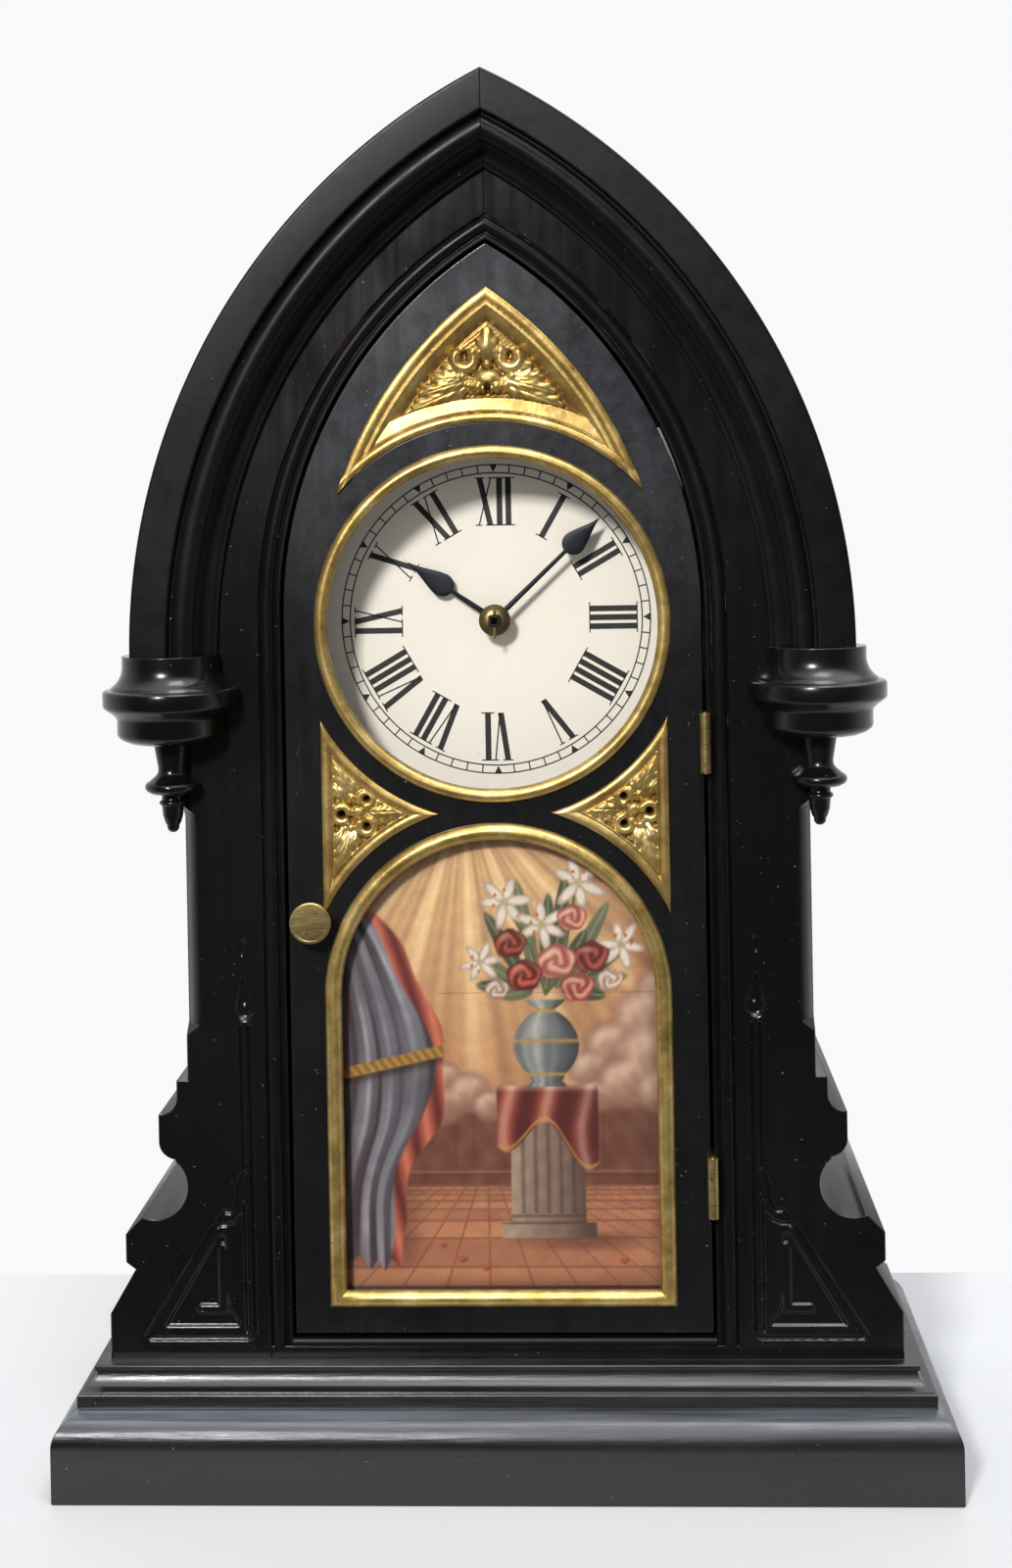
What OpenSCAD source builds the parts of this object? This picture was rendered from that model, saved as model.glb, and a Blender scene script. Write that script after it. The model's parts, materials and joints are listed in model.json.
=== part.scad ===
// A gothic shelf clock: an ebonised case with a pointed arch, a door with a glazed dial
// above a framed picture, and a striking pendulum movement inside.
// Lengths are in millimetres. X is across, Y runs from the front to the back, Z is up.
// The origin is on the table, under the middle of the whole clock.

/* [Plinth] */
// Width of the plinth
plinth_w = 381; // [372:1:420]
// Depth of the plinth
plinth_d = 165; // [158:1:200]
// Height of the plinth
plinth_h = 34.6; // [26:0.2:44]
// Radius of the round along the plinth's top edge
plinth_round = 8; // [3:0.5:12]
// Width of a plinth rail, seen from below
rail_t = 26; // [20:1:32]

/* [Base moulding] */
// Height of the base board and of the moulding round it
mould_h = 16.4; // [13:0.2:20]
// How far the moulding stands out from the base board
mould_t = 12; // [9:0.5:14]
// Height of the moulding's flat lower band
mould_band_h = 7; // [4:0.5:8]
// Height of the moulding's top fillet
mould_fillet_h = 2.8; // [2:0.2:4]
// Step from the plinth's front to the moulding's front
step_front = 13; // [9:0.5:16]
// Step from the plinth's side to the moulding's side
step_side = 8.5; // [5:0.5:11]
// Step from the base board's front edge to the case's face
face_step = 2; // [1:0.5:4]

/* [Case] */
// Width of the case, side to side
case_w = 270; // [266:1:276]
// Thickness of the case sides and the roof boards
side_t = 12; // [9:0.5:14]
// Thickness of the front boards
front_t = 12; // [10:0.5:14]
// Thickness of the back board
back_t = 8; // [5:0.5:10]
// Height at which the arch springs
spring_z = 355; // [350:1:362]
// Distance of each arc's centre beyond the middle line
arch_off = 121; // [112:1:130]
// Width of the chamfer on the front corners
chamfer_w = 6; // [3:0.5:8]
// Height of the chamfer's lower stop above the base board
chamfer_low = 138; // [128:1:150]
// Length of the chamfer
chamfer_len = 102; // [80:1:108]

/* [Hood] */
// How far the hood stands out beyond the case sides
hood_out = 18; // [15:0.5:20]
// How far the hood stands out in front of the case
hood_front = 18; // [15:0.5:20]
// Width of the hood seen from the front
hood_w = 35; // [32:0.5:38]
// How far the hood reaches back from the case's face
hood_back = 17.5; // [14:0.5:24]
// Width of the hood's flat outer band
hood_band = 16; // [13:0.5:17]

/* [Drops] */
// Radius of the cap under the hood's foot
drop_cap_r = 20.6; // [19:0.1:22]
// Radius of the widest ring
drop_ring_r = 29; // [27:0.1:31]
// Radius of the drum under the ring
drop_drum_r = 23; // [21:0.1:25]
// Height of the drop, cap to tip
drop_h = 76; // [70:1:84]
// Distance of the drop's axis outside the case side
drop_side = 3; // [2:0.1:5]
// Distance of the drop's axis in front of the case's face
drop_fore = 4.6; // [3:0.2:6]

/* [Brackets] */
// Width of the bracket's foot
bracket_w = 35.3; // [34:0.1:38]
// Height of the bracket
bracket_h = 120; // [116:1:126]
// Radius of the scoop in the bracket's edge
scoop_r = 14.2; // [12:0.2:15]
// Depth of the carved lines
carve_depth = 1.2; // [0.6:0.1:2]
// Distance of the carved stem from the case side
stem_in = 25.3; // [22:0.1:28]

/* [Door] */
// Width of the door
door_w = 179; // [176:0.5:182]
// Thickness of the door
door_t = 16; // [14:0.5:18]
// Height of the door's lower edge above the base board
door_low = 11; // [10:0.5:14]
// Height at which the door's arch springs
door_spring_z = 370; // [366:0.5:374]
// Distance of each door arc's centre beyond the middle line
door_off = 96.5; // [92:0.5:102]
// Gap between the door and the bead round it
door_gap = 1.6; // [1.4:0.1:2.2]
// Gap under the door
door_foot_gap = 2; // [1.5:0.1:3]
// Width of the bead round the door opening
bead_w = 9.4; // [7.5:0.1:10.5]
// How far that bead stands proud of the case's face
bead_proud = 1.2; // [0.6:0.1:2]
// Widest opening of the door, in degrees
door_swing = 110; // [90:1:115]

/* [Door furniture] */
// Depth of the glass behind the door's face
glass_depth = 6; // [5:0.5:8]
// Thickness of the glass
glass_t = 2; // [1.5:0.1:3]
// Thickness of the picture panel
panel_t = 3; // [1.5:0.1:4]
// Width of the ledge that the glass rests on
ledge_w = 4; // [3:0.5:5]
// Radius of the dial opening
dial_open_r = 71.5; // [69:0.5:73]
// Width of the gilt ring round the dial opening
ring_w = 5.1; // [4:0.1:6]
// Outer half width of the gilt bead round the picture
picture_hw = 74.5; // [72:0.5:77]
// Width of the gilt bead round the picture
picture_bead_w = 7.2; // [5:0.1:8]
// Height of the picture bead's lower edge above the door's lower edge
picture_low = 11.3; // [9:0.1:14]
// Height of the centre of the picture's round top
picture_top_z = 206.2; // [203:0.2:209]
// Depth of the pockets that the gilt spandrels lie in
pocket_depth = 4; // [3:0.5:4.5]
// How far the gilt spandrels stand proud of the door
gilt_proud = 1.5; // [1:0.1:2.5]
// Distance of the top spandrel from the door's edge
spandrel_in = 15.5; // [14:0.5:18]
// Diameter of the knob
knob_d = 19.2; // [16:0.2:21]
// How far the knob stands out from the door
knob_out = 14; // [11:0.5:17]
// Distance of the knob from the door's free edge
knob_in = 10.6; // [9:0.1:12]
// Height of the knob
knob_z = 240.7; // [230:0.5:250]

/* [Hinges] */
// Height of a hinge
hinge_h = 25.6; // [22:0.2:30]
// Radius of the hinge barrel
hinge_r = 2.4; // [2.2:0.1:2.5]
// Radius of the hinge pin
hinge_pin_r = 1.1; // [0.8:0.1:1.3]
// Thickness of a hinge leaf
leaf_t = 0.7; // [0.5:0.05:0.7]
// Width of a hinge leaf behind the barrel
leaf_w = 12; // [9:0.5:14]
// Heights of the middles of the two hinges
hinge_zs = [124.4, 314];

/* [Dial and hands] */
// Height of the dial's centre
dial_z = 366; // [364:0.5:368]
// Depth of the dial behind the door's face
dial_depth = 38.5; // [35:0.5:42]
// Width and height of the dial plate
dial_size = 168; // [160:1:180]
// Thickness of the dial plate
dial_t = 1; // [0.6:0.1:1.5]
// Length of the minute hand
minute_len = 67; // [62:0.5:69]
// Length of the hour hand
hour_len = 49; // [44:0.5:54]
// Thickness of a hand
hand_t = 0.9; // [0.6:0.1:1.2]
// Radius of the hand collet
collet_r = 7; // [5.5:0.1:8]
// Angle of the minute hand, clockwise from twelve
minute_angle = 46.7; // [0:0.1:359]
// Angle of the hour hand, clockwise from twelve
hour_angle = 304; // [0:0.1:359]

/* [Movement] */
// Width of the movement plates
plate_w = 104; // [102:1:110]
// Height of the movement plates
plate_h = 124; // [120:1:132]
// Thickness of a movement plate
plate_t = 2; // [1.5:0.1:2.5]
// Room between the movement plates
plate_gap = 38; // [38:0.5:44]
// Depth of the two rails that carry the dial and the movement
dial_rail_d = 12; // [11:0.5:14]
// Width of each of those rails
dial_rail_w = 12; // [10:0.5:14]
// Radius of an arbor between the plates
arbor_r = 1.2; // [1:0.1:1.3]
// Radius of a pivot in a plate
pivot_r = 0.9; // [0.7:0.1:1]
// Running clearance of pivots and pins
run = 0.05; // [0.03:0.01:0.08]
// Thickness of a wheel
wheel_t = 1.2; // [0.8:0.1:1.5]
// Length of the pendulum, from its axis to the middle of the bob
pendulum_len = 196; // [185:1:205]
// Radius of the bob
bob_r = 22; // [18:0.5:26]
// Thickness of the bob
bob_t = 8; // [6:0.5:10]
// Radius of the bell
bell_r = 28; // [24:0.5:30]
// Thickness of the bell's wall
bell_wall = 1.8; // [1.2:0.1:2.2]
// Distance of the bell's middle below the dial's centre
bell_drop = 98; // [94:1:102]
// Distance of the bell's middle left of the dial's centre
bell_side = 62; // [58:1:64]

/* [Hidden] */
$fn = 96;
tiny = 0.01;

overhang = max(0, drop_ring_r + drop_fore - face_step - mould_t - step_front);
plinth_hw = plinth_w / 2;
plinth_y = (overhang - plinth_d) / 2;
back_y = plinth_y + plinth_d;
base_hw = plinth_hw - step_side - mould_t;
base_y = plinth_y + step_front + mould_t;
base_z = plinth_h + mould_h;
face_y = base_y + face_step;
case_hw = case_w / 2;
inner_y = face_y + front_t;
back_in_y = back_y - back_t;
roof_r = case_hw + arch_off;
hood_r = roof_r + hood_out;

door_hw = door_w / 2;
door_z = base_z + door_low;
door_r = door_hw + door_off;
opening_r = door_r + door_gap;
bead_r = opening_r + bead_w;
bead_hw = bead_r - door_off;
opening_z = door_z - door_foot_gap;
bottom_bead_h = 3.7;
sill_z = opening_z - bottom_bead_h;
door_back_y = face_y + door_t;
glass_y = face_y + glass_depth;

hinge_x = door_hw + door_gap / 2;
hinge_y = face_y - hinge_r - 0.1;
knuckles = [0, 0.24, 0.48, 0.75, 1];
knuckle_gap = 0.15;

dial_y = face_y + dial_depth;
rail_y = dial_y + dial_t;
plate_y = rail_y + dial_rail_d;
gap_y = plate_y + plate_t;
back_plate_y = gap_y + plate_gap;
// The bell and its hammer share the room behind the back plate
back_room = back_in_y - back_plate_y - plate_t;
bell_y = back_plate_y + plate_t + back_room / 6;
bell_depth = back_room * 0.52;
hammer_y = bell_y + bell_depth - 7;
dial_rail_x = dial_size / 2 - 8;
plate_low = dial_z - plate_h / 2;
plate_high = dial_z + plate_h / 2;

function polar(r, a) = [r * cos(a), r * sin(a)];
function arc(c, r, a0, a1, n) = [for (i = [0 : n]) c + polar(r, a0 + (a1 - a0) * i / n)];
// Height of an arch of radius r, centre offset off and spring height z0, at a distance x
function arch_z(r, off, z0, x) = z0 + sqrt(r * r - pow(x + off, 2));

// Wheels of the movement: teeth and modules
great_n = 60;
great_m = 0.8;
centre_pinion_n = 10;
centre_n = 72;
centre_m = 0.5;
third_n = 72;
third_m = 0.45;
leaf_n = 8;
escape_n = 50;
escape_r = 15;
cannon_n = 12;
minute_n = 36;
minute_m = 0.5;
minute_pinion_n = 10;
hour_n = 40;
hour_m = minute_m * (cannon_n + minute_n) / (minute_pinion_n + hour_n);
strike_n = 60;
strike_m = 0.5;

// Places of the arbors, as X and Z
third_a = 60;
escape_a = 123.7;
barrel_a = -28;
minute_a = 200;
strike_a = 95;
fly_a = 80;
centre_p = [0, dial_z];
third_p = centre_p + polar(centre_m * (centre_n + leaf_n) / 2, third_a);
escape_p = third_p + polar(third_m * (third_n + leaf_n) / 2, escape_a);
anchor_p = [0, escape_p[1] + 22.2];
barrel_p = centre_p + polar(great_m * (great_n + centre_pinion_n) / 2, barrel_a);
strike_barrel_p = centre_p + [-27.5, -25];
strike_p = strike_barrel_p + polar(great_m * (great_n + leaf_n) / 2, strike_a);
fly_p = strike_p + polar(strike_m * (strike_n + leaf_n) / 2, fly_a);
minute_p = centre_p + polar(minute_m * (cannon_n + minute_n) / 2, minute_a);
hammer_p = centre_p - [plate_w / 2 - 8, plate_h / 2 - 14];
bell_p = centre_p - [bell_side, bell_drop];
pillar_ps = [for (x = [-1, 1], z = [-1, 1])
    centre_p + [x * (plate_w / 2 - 6), z * (plate_h / 2 - 6)]];
winding_r = 3;
pipe_r = 2.4;
hour_pipe_r = 3.6;
arbor_square = 3;
pin_r = 0.6;

// Depths of the wheels behind the front plate's inner face
centre_depth = 2;
escape_depth = 10;
drum_depth = 6;
drum_l = 20;
great_depth = drum_depth + drum_l;
third_depth = great_depth + 5;
pendulum_y = back_plate_y + plate_t + 8;

// A flat outline in X and Z, extruded backwards from y over a depth t
module slab(y, t) { translate([0, y + t, 0]) rotate([90, 0, 0]) linear_extrude(t) children(); }

// A profile of distance and forward height, turned round the Y axis at c
module turned(c, y) { translate([c[0], y, c[1]]) rotate([90, 0, 0]) rotate_extrude() children(); }

// A round rod along Y at p from y0 to y1
module rod(p, r, y0, y1) {
    translate([p[0], y1, p[1]]) rotate([90, 0, 0]) cylinder(r = r, h = y1 - y0);
}

module mirrored(side) { mirror([side < 0 ? 1 : 0, 0, 0]) children(); }

// The outline of a pointed arch on straight sides
module arch_outline(r, off, z0, foot) {
    intersection() {
        translate([-off, z0]) circle(r, $fn = 240);
        translate([off, z0]) circle(r, $fn = 240);
        translate([off - r, z0]) square([2 * (r - off), r]);
    }
    translate([off - r, foot]) square([2 * (r - off), z0 - foot + tiny]);
}

// The right half of a flat outline
module right_half() {
    intersection() {
        children();
        translate([0, 0]) square([500, 900]);
    }
}

module gear_outline(n, m, first) {
    pitch = 360 / n;
    polygon([for (i = [0 : n - 1], k = [0 : 3])
        polar(m * (n / 2 + (k == 1 || k == 2 ? 0.85 : -1.15)),
              first + pitch * (i + [-0.25, -0.09, 0.09, 0.25][k]))]);
}

module gear(p, n, m, first, y, t) {
    slab(y, t) translate(p) gear_outline(n, m, first);
}

// A wheel with its rim, four arms and a hub
module wheel(p, n, m, first, y) {
    rim_r = m * (n / 2 - 1.15) - 1.8;
    slab(y, wheel_t) difference() {
        translate(p) gear_outline(n, m, first);
        translate(p) difference() {
            circle(rim_r);
            circle(arbor_r + 2.2);
            for (a = [45, 135]) rotate(a) square([2 * rim_r + 2, 2.4], center = true);
        }
    }
}

// An arbor between the plates with a pivot in each
module arbor(p) {
    rod(p, arbor_r, gap_y + 0.5, back_plate_y - 0.5);
    rod(p, pivot_r, plate_y, back_plate_y + plate_t);
}

// Cross section of the plinth rail: X is the distance inwards from the outer face
module rail_section() {
    square([rail_t, plinth_h - plinth_round]);
    translate([plinth_round, 0]) square([rail_t - plinth_round, plinth_h]);
    translate([plinth_round, plinth_h - plinth_round]) circle(plinth_round);
}

// Cross section of the base moulding: X is the distance outwards from the base board
module moulding_section() {
    cove_r = mould_h - mould_band_h - mould_fillet_h + 1.2;
    difference() {
        polygon([[0, 0], [mould_t, 0], [mould_t, mould_band_h],
                 [mould_t * 0.88, mould_band_h], [mould_t * 0.88, mould_band_h + 1],
                 [mould_t * 0.42, mould_h - mould_fillet_h], [mould_t * 0.42, mould_h],
                 [0, mould_h]]);
        translate([mould_t * 0.98, mould_h - mould_fillet_h + 0.6]) circle(cove_r);
    }
}

// Runs a cross section along X, with its X pointing to the front from the line y
module along_x(y, len, z) {
    translate([-len / 2, y, z]) rotate([90, 0, 90]) mirror([1, 0, 0])
        linear_extrude(len) children();
}

// Runs a cross section along Y on the right side, with its X pointing right from the line x
module along_y(x, y0, len, z) {
    translate([x, y0 + len, z]) rotate([90, 0, 0]) linear_extrude(len) children();
}

module plan_prism(points, h) { linear_extrude(h) polygon(points); }

module plinth_front() {
    color("#171514") intersection() {
        translate([0, plinth_y, 0]) along_x(0, plinth_w, 0) mirror([1, 0, 0]) rail_section();
        plan_prism([[-plinth_hw, plinth_y], [plinth_hw, plinth_y],
                    [plinth_hw - rail_t, plinth_y + rail_t],
                    [rail_t - plinth_hw, plinth_y + rail_t]], plinth_h);
    }
}

module plinth_side(side) {
    color("#171514") mirrored(side) intersection() {
        along_y(plinth_hw, plinth_y, plinth_d, 0) mirror([1, 0, 0]) rail_section();
        plan_prism([[plinth_hw, plinth_y], [plinth_hw, back_y], [plinth_hw - rail_t, back_y],
                    [plinth_hw - rail_t, plinth_y + rail_t]], plinth_h);
    }
}

module plinth_left() { plinth_side(-1); }
module plinth_right() { plinth_side(1); }

module base_board() {
    color("#171514") translate([-base_hw, base_y, plinth_h])
        cube([2 * base_hw, back_y - base_y, mould_h]);
}

module base_moulding_front() {
    w = base_hw + mould_t;
    color("#171514") intersection() {
        along_x(base_y, 2 * w, plinth_h) moulding_section();
        plan_prism([[-w, base_y - mould_t], [w, base_y - mould_t],
                    [base_hw, base_y], [-base_hw, base_y]], base_z);
    }
}

module base_moulding_side(side) {
    w = base_hw + mould_t;
    color("#171514") mirrored(side) intersection() {
        along_y(base_hw, base_y - mould_t, back_y - base_y + mould_t, plinth_h) moulding_section();
        plan_prism([[w, base_y - mould_t], [w, back_y], [base_hw, back_y], [base_hw, base_y]], base_z);
    }
}

module base_moulding_left() { base_moulding_side(-1); }
module base_moulding_right() { base_moulding_side(1); }

// The carved lines of a front corner: a stem with a bud, and a sunk corner panel
module carving() {
    x = case_hw - stem_in;
    low = base_z + 8;
    translate([x - 1.6, low]) square([3.2, bracket_h + 12]);
    translate([x, base_z + bracket_h + 30]) circle(4.2);
    translate([x, base_z + bracket_h + 30]) polygon([[-4, 1], [4, 1], [0, 14]]);
    polygon([[x + 3, low], [x + 44, low], [x + 14.5, low + 47], [x + 11, low + 44]]);
}

module bracket_outline() {
    cusp = [5.5, 86];
    lobe_r = 7.4;
    throat = [12, bracket_h - 7.5];
    throat_r = 7.2;
    translate([case_hw, base_z]) difference() {
        union() {
            polygon([[0, 0], [bracket_w, 0], [bracket_w, 19.2], [bracket_w - 11.3, 38.4],
                     [bracket_w - 7.2, 41.5], [bracket_w - 7.2, 53.5], [bracket_w - 15.1, 61.4],
                     cusp, cusp + [0, lobe_r], cusp + [lobe_r, lobe_r],
                     [cusp[0] + lobe_r, throat[1] - throat_r], throat - [0, throat_r],
                     throat, throat - [throat_r, 0], [throat[0] - throat_r, bracket_h],
                     [0, bracket_h]]);
            translate(cusp + [0, lobe_r]) circle(lobe_r);
        }
        translate([scoop_r + 0.8, 74]) circle(scoop_r);
        translate(throat) circle(throat_r);
        translate([-20, 0]) square([20, bracket_h]);
    }
}

module bracket(side) {
    color("#151312") mirrored(side) difference() {
        slab(face_y, back_y - face_y) bracket_outline();
        slab(face_y - 1, 1 + carve_depth) carving();
    }
}

module bracket_left() { bracket(-1); }
module bracket_right() { bracket(1); }

module case_sides() {
    color("#151312") for (side = [-1, 1]) mirrored(side)
        translate([case_hw - side_t, inner_y, base_z])
            cube([side_t, back_in_y - inner_y, spring_z - base_z]);
}

// The stopped chamfer is a tapered trough, set across the corner
module chamfer_cut() {
    deep = chamfer_w / sqrt(2);
    z0 = base_z + chamfer_low;
    translate([case_hw, face_y, 0]) rotate([0, 0, -45]) rotate([90, 0, 0])
        translate([0, 0, -20]) linear_extrude(40)
            polygon([[4, z0 - 8], [4, z0 + chamfer_len + 8], [-deep, z0 + chamfer_len - 2 * deep],
                     [-deep, z0 + 2 * deep]]);
}

module front_board(side) {
    color("#151312") mirrored(side) difference() {
        slab(face_y, front_t) difference() {
            right_half() arch_outline(roof_r, arch_off, spring_z, base_z);
            arch_outline(bead_r, door_off, door_spring_z, base_z - 1);
        }
        chamfer_cut();
        slab(face_y - 1, 1 + carve_depth) carving();
    }
}

module front_board_left() { front_board(-1); }
module front_board_right() { front_board(1); }

module sill() {
    color("#151312") translate([-bead_hw, face_y, base_z])
        cube([2 * bead_hw, front_t, sill_z - base_z]);
}

// Cross section of the bead round the door: X is the distance outwards from the door opening
module bead_section() {
    back = door_t;
    round_r = bead_w * 0.3;
    translate([0, -back]) square([bead_w, back - 1]);
    translate([0, -1]) square([1.6, 0.6]);
    translate([bead_w - round_r - 0.6, bead_proud - round_r]) circle(round_r, $fn = 32);
    translate([bead_w - 2 * round_r - 0.6, -1.2]) square([2 * round_r, 1.2 + bead_proud - round_r]);
}

module door_bead() {
    foot_z = opening_z;
    color("#191716") {
        for (side = [-1, 1]) mirrored(side) {
            intersection() {
                turned([-door_off, door_spring_z], face_y) translate([opening_r, 0]) bead_section();
                translate([0, face_y - 20, door_spring_z]) cube([300, 60, 300]);
            }
            translate([opening_r - door_off, face_y, foot_z]) mirror([0, 1, 0])
                linear_extrude(door_spring_z - foot_z) bead_section();
        }
        translate([-bead_hw, face_y, sill_z])
            cube([2 * bead_hw, door_t, bottom_bead_h]);
    }
}

// Cross section of the hood: X is the radius, Y the distance in front of the case's face
module hood_section() {
    in_r = hood_r - hood_w;
    roll_r = 5.6;
    roll_x = hood_r - hood_band - roll_r;
    fillet_y = 3;
    sweep_y = fillet_y + 0.6;
    polygon(concat(
        [[hood_r, -hood_back], [hood_r, hood_front], [hood_r - hood_band, hood_front],
         [hood_r - hood_band, hood_front - 2.6]],
        arc([roll_x, hood_front - 1.2 - roll_r], roll_r, 35, 150, 8),
        arc([in_r + 1.5, hood_front - roll_r + 1], hood_front - roll_r + 1 - sweep_y, -18, -85, 7),
        [[in_r + 1.5, sweep_y], [in_r + 1.5, fillet_y], [in_r, fillet_y], [in_r, 0],
         [roof_r, 0], [roof_r, -hood_back]]));
}

module hood(side) {
    color("#121110") mirrored(side) intersection() {
        turned([-arch_off, spring_z], face_y) hood_section($fn = 240);
        translate([0, face_y - 60, spring_z]) cube([400, 120, 400]);
    }
}

module hood_left() { hood(-1); }
module hood_right() { hood(1); }

module roof_boards() {
    color("#141211") for (side = [-1, 1]) mirrored(side)
        slab(inner_y, back_in_y - inner_y) intersection() {
            translate([-arch_off, spring_z]) difference() {
                circle(roof_r, $fn = 240);
                circle(roof_r - side_t, $fn = 240);
            }
            translate([0, spring_z]) square([400, 400]);
        }
}

// Half section of a turned drop, X is the radius and Y the height from its tip
module drop_section() {
    h = drop_h;
    cap = drop_cap_r;
    ring = drop_ring_r;
    drum = drop_drum_r;
    polygon(concat(
        [[0, 0], [1.4, 0.4], [3.2, 3.4], [4.3, 7.5], [4.6, 10.9], [5.6, 11.8], [5.7, 14],
         [4.7, 14.6], [4.7, 16.2], [9.5, 17.2], [11.3, 18.3], [11.3, 21.3], [10.6, 22.2],
         [7, 25.3], [6, 26.2], [6, 28], [7.6, h - 39.2], [7.4, h - 38], [drum - 9, h - 37.6],
         [drum - 4, h - 36.4], [drum - 0.6, h - 34.6], [drum, h - 33.6], [drum, h - 26.4],
         [drum + 0.8, h - 25.8], [ring - 3, h - 24], [ring - 0.8, h - 22], [ring, h - 21.2],
         [ring, h - 15], [ring - 0.8, h - 14.2]],
        arc([ring + 2, h - 4.5], ring + 2 - cap, 235, 180, 5),
        [[cap, h], [0, h]]));
}

module drop(side) {
    color("#171514") mirrored(side) difference() {
        translate([case_hw + drop_side, face_y - drop_fore, spring_z - drop_h])
            rotate_extrude() drop_section();
        translate([case_hw - 60, face_y, spring_z - drop_h - 5]) cube([60, 60, drop_h + 10]);
    }
}

module drop_left() { drop(-1); }
module drop_right() { drop(1); }

module back_board() {
    color("#4b3323") difference() {
        slab(back_in_y, back_t) arch_outline(roof_r, arch_off, spring_z, base_z);
        for (p = [barrel_p, strike_barrel_p]) rod(p, 8, back_in_y - 1, back_y + 1);
    }
}

// The rails stand on the base board and end under the roof
module dial_rails() {
    color("#5a4330") for (side = [-1, 1]) mirrored(side)
        slab(rail_y, dial_rail_d) intersection() {
            translate([dial_rail_x, base_z]) square([dial_rail_w, 400]);
            arch_outline(roof_r - side_t, arch_off, spring_z, base_z);
        }
}

module dial_plate() {
    color("#efe6d2") slab(dial_y, dial_t) difference() {
        translate([-dial_size / 2, dial_z - dial_size / 2]) square(dial_size);
        translate(centre_p) circle(hour_pipe_r + 1.2);
    }
}

// One knuckle of a hinge, from a to b of the hinge's height
module knuckle(z, a, b) {
    translate([hinge_x, hinge_y, z - hinge_h / 2 + a * hinge_h + knuckle_gap / 2])
        cylinder(r = hinge_r, h = (b - a) * hinge_h - knuckle_gap);
}

// A leaf with its own knuckles: side 1 is the case's leaf and side -1 the door's
module leaf(side, first) {
    x0 = side > 0 ? hinge_x + door_gap / 2 - leaf_t : hinge_x - door_gap / 2;
    stand = hinge_r + 0.2;
    for (z = hinge_zs) difference() {
        union() {
            translate([x0, hinge_y + stand, z - hinge_h / 2]) cube([leaf_t, leaf_w, hinge_h]);
            for (k = [first, first + 2]) {
                knuckle(z, knuckles[k], knuckles[k + 1]);
                translate([x0, hinge_y, z - hinge_h / 2 + knuckles[k] * hinge_h + knuckle_gap / 2])
                    cube([leaf_t, stand + 1, (knuckles[k + 1] - knuckles[k]) * hinge_h - knuckle_gap]);
            }
        }
        translate([hinge_x, hinge_y, z - hinge_h]) cylinder(r = hinge_pin_r + run, h = 2 * hinge_h);
    }
}

module hinge_case_leaves() { color("#b08a3c") leaf(1, 1); }
module hinge_door_leaves() { color("#b08a3c") leaf(-1, 0); }

module hinge_pins() {
    color("#c09a4c") for (z = hinge_zs)
        translate([hinge_x, hinge_y, z - hinge_h / 2 - 0.4])
            cylinder(r = hinge_pin_r, h = hinge_h + 0.8);
}

// Outline of the picture opening, drawn in by d from the gilt bead's outer edge
module picture_outline(d) {
    r = picture_hw - d;
    low = door_z + picture_low + d;
    translate([0, picture_top_z]) circle(r, $fn = 180);
    translate([-r, low]) square([2 * r, picture_top_z - low]);
}

// Outline of the gilt spandrel above the dial
module top_spandrel_outline() {
    difference() {
        arch_outline(door_r - spandrel_in, door_off, door_spring_z, dial_z);
        translate([0, dial_z]) circle(dial_open_r + ring_w + 9.9, $fn = 180);
        translate([-200, dial_z - 200]) square([400, 200 + 55.5]);
    }
}

// Outline of a gilt spandrel between the dial and the picture, on the right
module spandrel_outline() {
    side_x = picture_hw;
    difference() {
        translate([21.5, picture_top_z + 41.7]) square([side_x - 21.5, 75.7]);
        translate([0, dial_z]) circle(dial_open_r + ring_w + 9.4, $fn = 180);
        translate([0, picture_top_z]) circle(picture_hw + 9.5, $fn = 180);
    }
}

module door_frame() {
    color("#191817") difference() {
        slab(face_y, door_t) difference() {
            arch_outline(door_r, door_off, door_spring_z, door_z);
            translate([0, dial_z]) circle(dial_open_r, $fn = 180);
            picture_outline(picture_bead_w - 0.6);
        }
        rod([0, dial_z], dial_open_r + ledge_w, glass_y, door_back_y + 1);
        slab(glass_y, door_t) picture_outline(picture_bead_w - ledge_w);
        slab(face_y - 1, 1 + pocket_depth) {
            top_spandrel_outline();
            spandrel_outline();
            mirror([1, 0]) spandrel_outline();
        }
        rod([knob_in - door_hw, knob_z], 2 + run, face_y - 1, door_back_y + 1);
    }
}

// The ring is a half round on the door's face
module dial_bezel() {
    color("#c9a545") turned([0, dial_z], face_y) intersection() {
        translate([dial_open_r - 0.6 + (ring_w + 0.6) / 2, 0]) circle((ring_w + 0.6) / 2, $fn = 48);
        translate([dial_open_r - 1, 0]) square([ring_w + 2, ring_w]);
    }
}

module dial_glass() {
    color([0.8, 0.85, 0.85, 0.3])
        rod([0, dial_z], dial_open_r + ledge_w - 0.2, glass_y, glass_y + glass_t);
}

// A gilt spandrel: a plate with a raised bead round its edge and a carved middle
module spandrel_body() {
    slab(face_y - gilt_proud, gilt_proud + pocket_depth) difference() {
        children(0);
        children(1);
    }
    slab(face_y + 1, pocket_depth - 1) children(1);
}

module top_spandrel() {
    color("#c9a545") {
        spandrel_body() {
            top_spandrel_outline();
            top_spandrel_field();
        }
        slab(face_y - gilt_proud, gilt_proud + 1) top_leaves();
    }
}

module top_spandrel_field() {
    intersection() {
        arch_outline(door_r - spandrel_in - 11, door_off, door_spring_z, dial_z);
        difference() {
            translate([-30, dial_z + 84]) square([60, 60]);
            translate([0, dial_z]) circle(dial_open_r + ring_w + 18.5, $fn = 180);
        }
    }
}

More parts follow.
